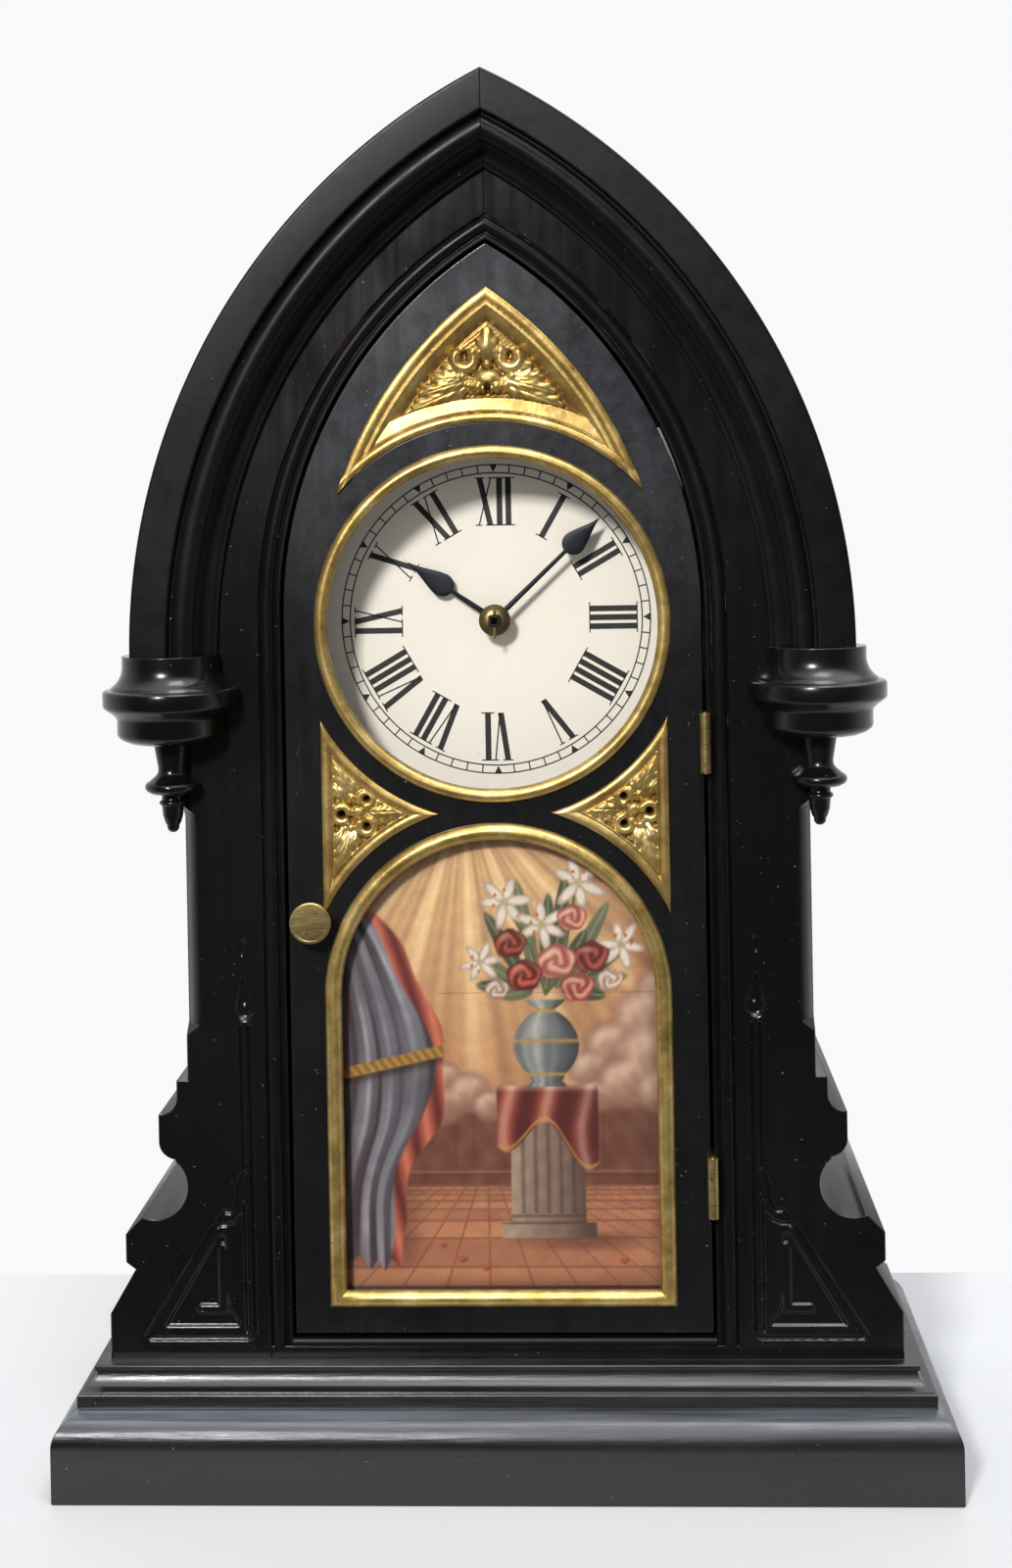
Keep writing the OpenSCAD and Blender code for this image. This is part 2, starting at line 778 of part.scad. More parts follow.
// The carved leaves above the dial, as a flat cluster
module top_leaves() {
    c = [0, dial_z + 104];
    translate(c + [0, -4]) circle(6.5);
    for (x = [-1, 1]) {
        translate(c + [8 * x, 3]) circle(5);
        translate(c + [14 * x, -3.5]) circle(4.5);
        translate(c + [21 * x, -5.4]) circle(3);
    }
    translate(c + [0, 6]) circle(5);
    translate(c + [0, 6]) polygon([[-4, 3], [4, 3], [0, 13]]);
}

module spandrel_field() {
    difference() {
        translate([36, picture_top_z + 60]) square([picture_hw - 36 - 4.5, 44]);
        translate([0, dial_z]) circle(dial_open_r + ring_w + 14.5, $fn = 180);
        translate([0, picture_top_z]) circle(picture_hw + 14.5, $fn = 180);
    }
}

// The carved leaves in the corners, as a flat cluster
module corner_leaves() {
    c = [picture_hw - 14, picture_top_z + 79.5];
    translate(c) circle(7);
    translate(c + [-9, 0]) circle(4.5);
    for (z = [-1, 1]) translate(c + [4.5, 9.5 * z]) circle(4);
}

module spandrel(side) {
    color("#c9a545") mirrored(side) {
        spandrel_body() {
            spandrel_outline();
            spandrel_field();
        }
        slab(face_y - gilt_proud, gilt_proud + 1) corner_leaves();
    }
}

module spandrel_left() { spandrel(-1); }
module spandrel_right() { spandrel(1); }

// The picture's bead is a half round on straight sides, mitred below, with a round top
module picture_bead() {
    r = picture_bead_w / 2;
    mid = picture_hw - r;
    low = door_z + picture_low + r;
    color("#c9a545") intersection() {
        union() {
            intersection() {
                turned([0, picture_top_z], face_y) translate([mid, 0]) circle(r, $fn = 48);
                translate([-200, face_y - 20, picture_top_z]) cube([400, 40, 200]);
            }
            for (side = [-1, 1]) translate([side * mid, face_y, low - r])
                cylinder(r = r, h = picture_top_z - low + r, $fn = 48);
            translate([-mid - r, face_y, low]) rotate([0, 90, 0])
                cylinder(r = r, h = 2 * (mid + r), $fn = 48);
        }
        translate([-200, face_y - 20, 0]) cube([400, 20, 500]);
    }
}

module picture_glass() {
    color([0.8, 0.85, 0.85, 0.3])
        slab(glass_y, glass_t) picture_outline(picture_bead_w - ledge_w + 0.2);
}

module picture_panel() {
    color("#b9794f")
        slab(glass_y + glass_t, panel_t) picture_outline(picture_bead_w - ledge_w + 0.2);
}

// The knob, with the spindle that runs through the door
module door_knob() {
    r = knob_d / 2;
    x = knob_in - door_hw;
    color("#c4a24e") {
        turned([x, knob_z], face_y) polygon(concat(
            [[0, -door_t - 3.2], [2, -door_t - 3.2], [2, 0.1], [4.4, 0.1], [4.4, 1.2],
             [3, 2], [2.8, knob_out - 7], [r - 1.2, knob_out - 4.6], [r, knob_out - 3.4],
             [r, knob_out - 2.2]],
            arc([0, knob_out - 30.6], 30.6, 74.5, 90, 5)));
    }
}

// The catch stands upright on the spindle when the door is free to open
module turn_catch() {
    x = knob_in - door_hw;
    color("#b08a3c") slab(door_back_y + 0.5, 2.5) difference() {
        union() {
            translate([x, knob_z]) circle(6);
            translate([x - 4, knob_z]) square([8, 18]);
        }
        translate([x, knob_z]) circle(2);
    }
}

// The arbors that pass through the plates, each with its hole's radius
bored = [[centre_p, pivot_r], [third_p, pivot_r], [escape_p, pivot_r], [anchor_p, pivot_r],
         [barrel_p, winding_r], [strike_barrel_p, winding_r], [strike_p, pivot_r],
         [fly_p, pivot_r], [hammer_p, pivot_r]];

module plate_outline() {
    translate([-plate_w / 2, plate_low]) square([plate_w, plate_high - plate_low]);
}

module front_plate() {
    lug = dial_rail_x + dial_rail_w - 2;
    color("#b8923f") difference() {
        slab(plate_y, plate_t) {
            plate_outline();
                for (z = [plate_low + 12, plate_high - 24]) translate([-lug, z]) square([2 * lug, 12]);
        }
        for (b = bored) rod(b[0], b[1] + run, plate_y - 1, gap_y + 1);
        rod(centre_p, pipe_r + run, plate_y - 1, gap_y + 1);
        rod(minute_p, pivot_r, plate_y - 1, gap_y + 1);
    }
}

module back_plate() {
    color("#b8923f") difference() {
        slab(back_plate_y, plate_t) plate_outline();
        for (b = bored) rod(b[0], b[1] + run, back_plate_y - 1, back_plate_y + plate_t + 1);
        rod(anchor_p, arbor_r + run, back_plate_y - 1, back_plate_y + plate_t + 1);
        rod(hammer_p, arbor_r + run, back_plate_y - 1, back_plate_y + plate_t + 1);
    }
}

module plate_pillars() {
    color("#b8923f") for (p = pillar_ps) rod(p, 3.5, gap_y, back_plate_y);
}

// A drum with its great wheel, free on its winding arbor
module barrel(p, first) {
    y = gap_y + drum_depth;
    color("#b8923f") difference() {
        union() {
            rod(p, 20.5, y, y + drum_l);
            gear(p, great_n, great_m, first, y + drum_l, 2);
        }
        rod(p, winding_r + run, y - 1, y + drum_l + 4);
    }
}

module time_barrel() { barrel(barrel_p, barrel_a + 180); }
module strike_barrel() { barrel(strike_barrel_p, strike_a); }

// A winding arbor with its ratchet, and a square for the key behind the back plate
module winding_arbor(p) {
    y = back_plate_y + plate_t;
    color("#8d8f93") {
        rod(p, winding_r, plate_y, y + 8);
        slab(y + 1, 1.5) translate(p) gear_outline(24, 0.6, 0);
        slab(y + 8, 14) translate(p) square(4.1, center = true);
    }
}

module time_winding_arbor() { winding_arbor(barrel_p); }
module strike_winding_arbor() { winding_arbor(strike_barrel_p); }

// The centre arbor carries the cannon pinion and the square for the minute hand
module centre_wheel() {
    hand_y = dial_y - 9.6;
    color("#c4a24e") {
        wheel(centre_p, centre_n, centre_m, third_a, gap_y + centre_depth);
        gear(centre_p, centre_pinion_n, great_m, barrel_a + 180 / centre_pinion_n,
             gap_y + great_depth - 1, 4);
        rod(centre_p, arbor_r, gap_y, back_plate_y - 0.5);
        rod(centre_p, pivot_r, back_plate_y - 0.5, back_plate_y + plate_t);
        rod(centre_p, pipe_r, hand_y, gap_y + 1);
        gear(centre_p, cannon_n, minute_m, minute_a, plate_y - 3, 2.5);
        difference() {
            slab(hand_y - 7, 7) translate(centre_p) square(arbor_square, center = true);
            translate([0, hand_y - hand_t - 4.6, dial_z - 5]) cylinder(r = pin_r, h = 10);
        }
    }
}

module third_wheel() {
    color("#c4a24e") {
        arbor(third_p);
        gear(third_p, leaf_n, centre_m, third_a + 180 + 180 / leaf_n, gap_y + centre_depth - 1, 4);
        wheel(third_p, third_n, third_m, escape_a, gap_y + third_depth);
    }
}

module escape_wheel() {
    tooth = 360 / escape_n;
    color("#c4a24e") {
        arbor(escape_p);
        gear(escape_p, leaf_n, third_m, escape_a + 180 + 180 / leaf_n, gap_y + third_depth - 1, 4);
        slab(gap_y + escape_depth, wheel_t) translate(escape_p) difference() {
            polygon([for (i = [0 : escape_n - 1], k = [0, 1])
                polar(escape_r - (k == 0 ? 0 : 1.8), tooth * (i + 0.2 * k))]);
            difference() {
                circle(escape_r - 3.8);
                circle(arbor_r + 2.2);
                for (a = [0, 90]) rotate(a) square([2 * escape_r - 5, 2.2], center = true);
            }
        }
    }
}

// The anchor's arms end just clear of the escape wheel; its crutch hangs behind the back plate
module anchor() {
    reach = 12.6;
    fork_z = anchor_p[1] - 30;
    color("#8d8f93") {
        rod(anchor_p, arbor_r, gap_y + 0.5, pendulum_y - 4);
        rod(anchor_p, pivot_r, plate_y, gap_y + 1);
        slab(gap_y + escape_depth - 1, wheel_t + 2) difference() {
            translate(anchor_p) {
                circle(4);
                polygon([[-4, 1], [4, 1], [reach + 1.4, -8.5], [reach + 0.6, -12.4], [reach - 1.6, -9],
                         [0, -3.4], [1.6 - reach, -9], [-reach - 0.6, -12.4], [-reach - 1.4, -8.5]]);
            }
            translate(escape_p) circle(escape_r + 1.5);
        }
        translate([-1.5, pendulum_y - 5.5, fork_z - 2]) cube([3, 1.5, 32]);
        for (x = [-2.7, 1.5]) translate([x, pendulum_y - 5.5, fork_z - 2]) cube([1.2, 8, 3]);
        translate([-2.7, pendulum_y - 5.5, fork_z - 2]) cube([5.4, 1.5, 3]);
    }
}

// The cock on the back plate holds the suspension spring in a slot
module suspension_cock() {
    y = back_plate_y + plate_t;
    z = anchor_p[1] + 3.5;
    slot_w = 1.5;
    color("#b8923f") difference() {
        translate([-5, y, z]) cube([10, pendulum_y - y + 3, 7]);
        translate([-slot_w / 2, pendulum_y - 2.2, z - 1]) cube([slot_w, 6, 6]);
    }
}

module pendulum_rod() {
    spring_top = anchor_p[1] + 7.5;
    low = anchor_p[1] - pendulum_len - bob_r - 6;
    rod_top = anchor_p[1] - 5;
    color("#a9abad") {
        translate([-0.1, pendulum_y - 1.5, rod_top - 1]) cube([0.2, 3, spring_top - rod_top + 1]);
        translate([0, pendulum_y, low]) cylinder(r = 1.2, h = rod_top - low);
        translate([0, pendulum_y, low + 1]) cylinder(r = 4, h = 3);
    }
}

// The bob is a lens of brass, threaded on the rod
module pendulum_bob() {
    c = [0, anchor_p[1] - pendulum_len];
    color("#c4a24e") difference() {
        turned(c, pendulum_y) polygon([[0, -bob_t / 2], [bob_r * 0.45, -bob_t * 0.47],
            [bob_r * 0.8, -bob_t * 0.35], [bob_r, -bob_t * 0.1], [bob_r, bob_t * 0.1],
            [bob_r * 0.8, bob_t * 0.35], [bob_r * 0.45, bob_t * 0.47], [0, bob_t / 2]]);
        translate([0, pendulum_y, c[1] - bob_r - 1]) cylinder(r = 1.2, h = 2 * bob_r + 2);
    }
}

module minute_wheel() {
    color("#c4a24e") {
        gear(minute_p, minute_n, minute_m, minute_a + 180 + 180 / minute_n, plate_y - 2.6, 1.4);
        gear(minute_p, minute_pinion_n, hour_m, minute_a + 180, plate_y - 6.4, 4.2);
        rod(minute_p, pivot_r - run, plate_y - 6.4, gap_y);
    }
}

// The hour wheel's pipe runs over the centre arbor and through the dial
module hour_wheel() {
    y = plate_y - 6;
    color("#c4a24e") difference() {
        union() {
            gear(centre_p, hour_n, hour_m, minute_a + 180 / hour_n, y, wheel_t);
            rod(centre_p, hour_pipe_r, dial_y - 5.5, y + wheel_t);
        }
        rod(centre_p, pipe_r + run, dial_y - 7, y + wheel_t + 1);
    }
}

// A pointed pear-shaped hand on a thin stem, pointing up; belly is the pear's distance
module hand_outline(reach, belly, hub_r) {
    pear = 5.2;
    right = concat([[1.1, 0], [0.8, belly - pear]], arc([0, belly], pear, -80, 25, 8),
                   [[1.7, belly + 9.5]]);
    circle(hub_r);
    polygon(concat(right, [[0, reach]],
        [for (i = [len(right) - 1 : -1 : 0]) [-right[i][0], right[i][1]]]));
}

module hand(reach, belly, hub_r, hole_r, angle, y) {
    slab(y, hand_t) translate(centre_p) rotate(-angle) difference() {
        hand_outline(reach, belly, hub_r);
        circle(hole_r);
    }
}

module hour_hand() {
    color("#1c2026") hand(hour_len, hour_len - 20.5, 5.5, hour_pipe_r, hour_angle, dial_y - 5.5);
}

module minute_hand() {
    y = dial_y - 9.6 - hand_t;
    color("#1c2026") slab(y, hand_t) translate(centre_p) difference() {
        rotate(-minute_angle) hand_outline(minute_len, minute_len - 18, 4.5);
        square(arbor_square, center = true);
    }
}

// The domed collet and the taper pin that holds it on the square
module hand_collet() {
    y = dial_y - 9.6 - hand_t;
    color("#c4a24e") {
        difference() {
            turned(centre_p, y) polygon(concat([[0, 0], [collet_r, 0], [collet_r, 0.8]],
                arc([0, -4.6], 8, 45, 90, 6)));
            slab(y - 9, 10) translate(centre_p) square(arbor_square, center = true);
        }
        translate([0, y - 4.6, dial_z - 8]) cylinder(r = pin_r, h = 13);
    }
}

module strike_wheel() {
    y = gap_y + third_depth;
    color("#c4a24e") {
        arbor(strike_p);
        gear(strike_p, leaf_n, great_m, strike_a + 180 + 180 / leaf_n, gap_y + great_depth - 1, 4);
        wheel(strike_p, strike_n, strike_m, fly_a, y);
        for (a = [0 : 45 : 315]) rod(strike_p + polar(12.4, a), 0.7, y + 0.4, y + 4);
    }
}

module fly() {
    color("#c4a24e") {
        arbor(fly_p);
        gear(fly_p, leaf_n, strike_m, fly_a + 180 + 180 / leaf_n, gap_y + third_depth - 1, 3.4);
        translate([fly_p[0] - 11, gap_y + 9, fly_p[1] - 0.5]) cube([22, 15, 1]);
    }
}

// The hammer rests just above the bell's rim; its tail reaches up to the lifting pins
module hammer() {
    head = bell_p + [0, bell_r + 5.1];
    arm = head - hammer_p;
    y = hammer_y;
    color("#8d8f93") {
        rod(hammer_p, arbor_r, gap_y + 0.5, y + 3);
        rod(hammer_p, pivot_r, plate_y, gap_y + 1);
        translate([hammer_p[0], y + 3, hammer_p[1]]) rotate([90, 0, 0]) linear_extrude(2)
            rotate(atan2(arm[1], arm[0])) translate([0, -1.2]) square([norm(arm), 2.4]);
        translate([head[0], y + 2, head[1] - 4]) cylinder(r = 3.6, h = 8);
        slab(gap_y + third_depth + 2.6, 1.4) translate(hammer_p) rotate(-12.9)
            translate([-1.3, 0]) square([2.6, 36]);
    }
}

// The bell is a cup with its mouth to the back
module bell() {
    wall = bell_wall;
    depth = bell_depth;
    color("#c9a84f") turned(bell_p, bell_y) difference() {
        polygon(concat([[bell_r, -depth], [bell_r - 0.6, -depth + 3]],
            [for (i = [1 : 8]) [(bell_r - 1) * cos(i * 11), -depth + 4 + (depth - 4) * sin(i * 11)]],
            [[0, 0], [0, -depth]]));
        polygon(concat([[bell_r - wall, -depth - 1], [bell_r - wall - 0.6, -depth + 3]],
            [for (i = [1 : 8]) [(bell_r - wall - 1) * cos(i * 11),
                                -depth + 4 + (depth - 4 - wall) * sin(i * 11)]],
            [[0, -wall], [0, -depth - 1]]));
        square([2, 60], center = true);
    }
}

module bell_stand() {
    y = bell_y;
    color("#8d8f93") {
        rod(bell_p, 1, y - 3, y + 3);
        rod(bell_p, 2.6, y + bell_wall + 0.15, back_in_y - 3);
        rod(bell_p, 3, y - 3, y);
        rod(bell_p, 9, back_in_y - 3, back_in_y);
    }
}

plinth_front();
plinth_left();
plinth_right();
base_board();
base_moulding_front();
base_moulding_left();
base_moulding_right();
bracket_left();
bracket_right();
case_sides();
front_board_left();
front_board_right();
sill();
door_bead();
hood_left();
hood_right();
roof_boards();
drop_left();
drop_right();
back_board();
dial_rails();
dial_plate();
hinge_case_leaves();
hinge_pins();
door_frame();
dial_bezel();
dial_glass();
top_spandrel();
spandrel_left();
spandrel_right();
picture_bead();
picture_glass();
picture_panel();
hinge_door_leaves();
door_knob();
turn_catch();
front_plate();
back_plate();
plate_pillars();
bell();
bell_stand();
suspension_cock();
time_barrel();
time_winding_arbor();
centre_wheel();
third_wheel();
escape_wheel();
anchor();
pendulum_rod();
pendulum_bob();
minute_wheel();
hour_wheel();
hour_hand();
minute_hand();
hand_collet();
strike_barrel();
strike_winding_arbor();
strike_wheel();
fly();
hammer();
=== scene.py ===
# %% [markdown]
# # Dressing a pointed prayer clock
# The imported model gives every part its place. This lesson dresses it: lacquered mouldings,
# carved and gilded panels, a printed dial, a painted picture and a brass movement.
# Each new piece is worked out as whole numpy arrays in millimetres.

# %% Load the frame
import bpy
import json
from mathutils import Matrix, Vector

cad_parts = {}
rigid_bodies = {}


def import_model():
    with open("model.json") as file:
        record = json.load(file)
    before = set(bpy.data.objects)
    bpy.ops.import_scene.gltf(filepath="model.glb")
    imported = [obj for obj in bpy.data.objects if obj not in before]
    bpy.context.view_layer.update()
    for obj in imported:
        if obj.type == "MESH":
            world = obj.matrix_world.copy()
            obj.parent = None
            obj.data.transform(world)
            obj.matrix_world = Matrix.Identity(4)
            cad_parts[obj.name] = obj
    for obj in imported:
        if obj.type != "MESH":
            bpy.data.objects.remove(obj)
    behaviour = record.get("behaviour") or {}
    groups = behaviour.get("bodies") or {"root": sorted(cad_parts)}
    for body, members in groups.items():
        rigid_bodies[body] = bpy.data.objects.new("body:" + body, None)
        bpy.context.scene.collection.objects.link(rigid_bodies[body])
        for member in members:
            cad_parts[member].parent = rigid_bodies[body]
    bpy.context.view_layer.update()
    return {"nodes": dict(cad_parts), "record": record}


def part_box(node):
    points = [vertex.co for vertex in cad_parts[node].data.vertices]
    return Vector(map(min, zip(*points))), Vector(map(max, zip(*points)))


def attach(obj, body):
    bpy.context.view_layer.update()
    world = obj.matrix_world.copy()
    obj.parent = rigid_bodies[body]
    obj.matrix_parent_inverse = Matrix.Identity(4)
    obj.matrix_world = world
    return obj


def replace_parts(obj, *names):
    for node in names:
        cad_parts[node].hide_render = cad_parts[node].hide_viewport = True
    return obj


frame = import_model()

import json
import math
import bmesh
import bpy
import numpy as np
from mathutils import Matrix

# %% [markdown]
# ## One way to make every piece
# A moulding, a turned knob and a carved panel can all be made as a stack of closed loops:
# the section of the piece, repeated along its length. The skin over the loops is always a
# closed shell. One helper for all of them keeps every wall thick and every normal outwards.

# %% Skin a stack of loops
MM = 0.001
SIDES = (-1, "left"), (1, "right")


def add_object(name, data):
    """A new object in the scene."""
    thing = bpy.data.objects.new(name, data)
    bpy.context.scene.collection.objects.link(thing)
    return thing


def skin(name, stacks, body="case", sharp=35, doubles=1e-4):
    """Makes one mesh from stacks of loops, each an array of loops x points x 3 in mm.
    Point j of loop i is joined to points j and j + 1 of loop i + 1. A stack marked as a
    ring joins its last loop to its first; any other gets a flat cap on both ends."""
    points, faces, start = [], [], 0
    for loops, ring in stacks:
        rows, cols = loops.shape[:2]
        r = np.arange(rows if ring else rows - 1)[:, None]
        c = np.arange(cols)[None, :]
        below, right = (r + 1) % rows, (c + 1) % cols
        quads = np.stack([r * cols + c, r * cols + right,
                          below * cols + right, below * cols + c], -1).reshape(-1, 4)
        faces += (quads + start).tolist()
        if not ring:
            faces += [list(range(start, start + cols)),
                      list(range(start + (rows - 1) * cols, start + rows * cols))[::-1]]
        points.append(loops.reshape(-1, 3))
        start += rows * cols
    mesh = bpy.data.meshes.new(name)
    mesh.from_pydata((np.concatenate(points) * MM).tolist(), [], faces)
    shell = bmesh.new()
    shell.from_mesh(mesh)
    bmesh.ops.remove_doubles(shell, verts=shell.verts, dist=doubles * MM)
    bmesh.ops.dissolve_degenerate(shell, edges=shell.edges, dist=doubles * MM)
    bmesh.ops.recalc_face_normals(shell, faces=shell.faces)
    shell.to_mesh(mesh)
    shell.free()
    mesh.shade_smooth()
    mesh.set_sharp_from_angle(angle=math.radians(sharp))
    piece = add_object(name, mesh)
    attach(piece, body)
    print(name, len(mesh.polygons), "faces")
    return piece


def stack(x, y, z):
    """Three arrays that broadcast together, as one array of points."""
    return np.stack(np.broadcast_arrays(x, y, z), -1).astype(float)


def full_turn(n):
    """n angles that share out one whole turn, in radians."""
    return np.linspace(0, 2 * np.pi, n, endpoint=False)


def arc(centre, radius, start, end, n):
    """n points on a circle: the centre plus the radius at angles from start to end."""
    a = np.radians(np.linspace(start, end, n))
    return np.stack([centre[0] + radius * np.cos(a), centre[1] + radius * np.sin(a)], -1)


def line(*points, n=2):
    """Points spread evenly along each straight run of a broken line."""
    runs = [np.linspace(a, b, n)[:-1] for a, b in zip(points[:-1], points[1:])]
    return np.concatenate(runs + [[points[-1]]]).astype(float)


# %% Read the main sizes from the frame
def edge(node, axis, end):
    """One side of a node's box in mm; end 0 is its low side and 1 its high side."""
    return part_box(node)[end][axis] / MM


plinth_hw = edge("plinth_front", 0, 1)
plinth_y = edge("plinth_front", 1, 0)
plinth_h = edge("plinth_front", 2, 1)
back_y = edge("plinth_left", 1, 1)
base_hw = edge("base_board", 0, 1)
base_y = edge("base_board", 1, 0)
base_z = edge("base_board", 2, 1)
face_y = edge("door_frame", 1, 0)
inner_y = edge("front_board_left", 1, 1)
back_in_y = edge("back_board", 1, 0)
case_hw = edge("case_sides", 0, 1)
spring_z = edge("case_sides", 2, 1)
arch_off = 121
roof_r = case_hw + arch_off
door_hw = edge("door_frame", 0, 1)
door_off, door_spring = 96.5, 370
door_r = door_hw + door_off
bead_w = 9.4
opening_r = door_r + 1.6
sill_z = edge("sill", 2, 1)
dial_z = 366
ring_in, ring_out = 70.9, 76.6
gilt_proud = 1.5
picture_hw = edge("picture_bead", 0, 1)
picture_low = edge("picture_bead", 2, 0)
picture_top = 206.2
print("plinth", plinth_hw, "case", case_hw, "face", face_y, "spring", spring_z)

# %% [markdown]
# ## The plinth and the base moulding
# On the real clock both are lengths of moulding, planed to a section and mitred at the
# corners. The section is carried round the front and the two sides in the same way: a
# point that is d inside the outer face turns the corner d inside it too, which is a mitre.

# %% Carry a section round three sides
def three_sides(section, half_width, front, side=1):
    """Loops of a moulding on the front and both sides. The section holds distances in
    from the outer face, or out from it with side -1, and heights. The loops stand at the
    left back end, the two front corners and the right back end."""
    d, z = section[:, 0] * side, section[:, 1]
    x, y = half_width - d, front + d
    return np.stack([stack(-x, back_y, z), stack(-x, y, z), stack(x, y, z),
                     stack(x, back_y, z)])


rail_t, round_r = 26, 11
rail = np.concatenate([line((rail_t, 0), (0.9, 0)), [[0.25, 0.25]],
                       line((0, 0.9), (0, plinth_h - round_r)),
                       arc((round_r, plinth_h - round_r), round_r, 180, 90, 18)[1:],
                       [[rail_t, plinth_h]]])
plinth = skin("plinth_rails", [(three_sides(rail, plinth_hw, plinth_y), False)],
              sharp=40)
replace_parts(plinth, "plinth_front", "plinth_left", "plinth_right")

mould_h = base_z - plinth_h
band = np.concatenate([line((0, 0), (11.6, 0)), [[12, 0.4]], [[12, 5.7]],
                       arc((11.2, 5.7), 0.8, 0, 90, 5)[1:], [[10.6, 6.5]],
                       [[10.6, 7.1]],
                       arc((11.9, 14.2), 7.2, 260, 182, 12),
                       [[4.7, 13.9], [5.3, 13.9]],
                       arc((5.0, 14.6), 0.7, -60, 0, 3), [[5.7, 15.7]],
                       arc((5.0, 15.7), 0.7, 0, 90, 4)[1:], [[0, mould_h]]])
band[:, 1] += plinth_h
moulding = skin("base_moulding", [(three_sides(band, base_hw, base_y, -1), False)],
                sharp=40)
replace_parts(moulding, "base_moulding_front", "base_moulding_left", "base_moulding_right")

# %% [markdown]
# ## The sides and the roof
# The sides are straight boards; above the spring line they go on as two bent boards that
# meet in a point. Both are one shell here, so that the light runs over the joint.

# %% Bend the side boards into the roof
def pointed(radius, off, spring, foot, n_low, n_arc):
    """Right half of a pointed arch of a radius about (-off, spring), from the foot up to
    the point on the middle line, as X and Z. Its angle there is acos(off / radius)."""
    top = math.degrees(math.acos(off / radius))
    low = np.linspace(foot, spring, n_low)[:-1]
    return np.concatenate([np.stack([np.full_like(low, radius - off), low], -1),
                           arc((-off, spring), radius, 0, top, n_arc)])


def both_sides(half):
    """The right half of a path, and before it its mirror image from the left foot up."""
    left = half[:-1] * [-1, 1]
    return np.concatenate([left, half[::-1]])


outer = both_sides(pointed(roof_r, arch_off, spring_z, base_z, 3, 60))
board_t = 12
inner = both_sides(pointed(roof_r - board_t, arch_off, spring_z, base_z, 3, 60))
boards = np.stack([stack(outer[:, 0], inner_y, outer[:, 1]),
                   stack(outer[:, 0], back_in_y, outer[:, 1]),
                   stack(inner[:, 0], back_in_y, inner[:, 1]),
                   stack(inner[:, 0], inner_y, inner[:, 1])], 1)
shell = skin("side_and_roof_boards", [(boards, False)])
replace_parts(shell, "case_sides", "roof_boards")

# %% [markdown]
# ## The hood
# The moulding over the arch is a broad flat band, a roll and a hollow. Each point of its
# section runs on its own circle up to the middle line, where the two halves are mitred.

# %% Sweep the hood
hood_r, hood_in, hood_front = roof_r + 18, roof_r + 18 - 35, 18
hood = np.concatenate([
    line((hood_r, -17.5), (hood_r, hood_front - 1)),
    arc((hood_r - 1, hood_front - 1), 1, 0, 90, 4)[1:],
    [[hood_r - 1.5, hood_front + 0.01], [hood_r - 8, hood_front + 0.1],
     [hood_r - 14.9, hood_front + 0.01]],
    arc((hood_r - 15.3, hood_front - 0.7), 0.7, 90, 180, 5),
    [[hood_r - 16, hood_front - 3.4], [hood_r - 17.3, hood_front - 3.6]],
    arc((hood_r - 21.6, hood_front - 6.8), 5.6, 42, 155, 16),
    arc((hood_in + 1.5, 13.4), 9.8, -14, -85, 14),
    [[hood_in + 1.5, 3.1], [hood_in + 1.2, 2.9], [hood_in + 0.3, 2.9], [hood_in, 2.6],
     [hood_in, 0], [roof_r, 0], [roof_r, -17.5]]])


def arch_loops(section, off, spring, n, foot=None):
    """Loops of a section of radii and forward heights along the right half of an arch.
    Each radius sweeps from 0 to its own angle on the middle line. With a foot, a first
    loop stands there, straight below the spring line."""
    t = np.linspace(0, 1, n)[:, None]
    r, forward = section[:, 0][None], section[:, 1][None]
    a = t * np.arccos(off / r)
    loops = stack(r * np.cos(a) - off, face_y - forward, spring + r * np.sin(a))
    if foot is not None:
        loops = np.concatenate([[stack(section[:, 0] - off, face_y - section[:, 1], foot)],
                                loops])
    return loops


for side, name in SIDES:
    loops = arch_loops(hood, arch_off, spring_z, 72) * [side, 1, 1]
    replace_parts(skin("hood_moulding_" + name, [(loops, False)]),
                "hood_" + name)

# %% [markdown]
# ## The bead round the door
# A flat step and a half round frame the door on the case. It is swept like the hood, with
# straight legs below, and a small round bar closes it at the foot.

# %% Sweep the door bead
bead = np.concatenate([
    [[0, -16], [0, -1.0]], [[0.3, -0.6], [1.4, -0.6], [1.7, -0.9]], [[2.6, -1.2]],
    arc((5.8, -1.55), 2.95, 176, 4, 18), [[bead_w - 0.35, -1.1], [bead_w, -1.3], [bead_w, -16]]])
bead[:, 0] += opening_r
half = arch_loops(bead, door_off, door_spring, 60, foot=sill_z)
whole = np.concatenate([half[:-1] * [-1, 1, 1], half[::-1]])
foot_bar = np.concatenate([arc((-face_y - 0.2, sill_z + 1.9), 1.85, 60, -60, 9),
                           [[-face_y - 16, sill_z + 0.05], [-face_y - 16, sill_z + 3.7]]])
inside = opening_r - door_off
bar = np.stack([stack(x, -foot_bar[:, 0], foot_bar[:, 1]) for x in (-inside, inside)])
door_bead = skin("door_bead_moulding", [(whole, False), (bar, False)])
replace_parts(door_bead, "door_bead")

# %% [markdown]
# ## The carved fronts
# Each side of the front is a board that is sawn to a pointed arch above and to a stepped
# bracket below, then cut in with a gouge. A flat board with a bump texture would lose the
# glints in the cuts, so the face is a grid whose depth is worked out from the distance to
# each cut line. The grid is ruled between the door bead and the outline of the board.

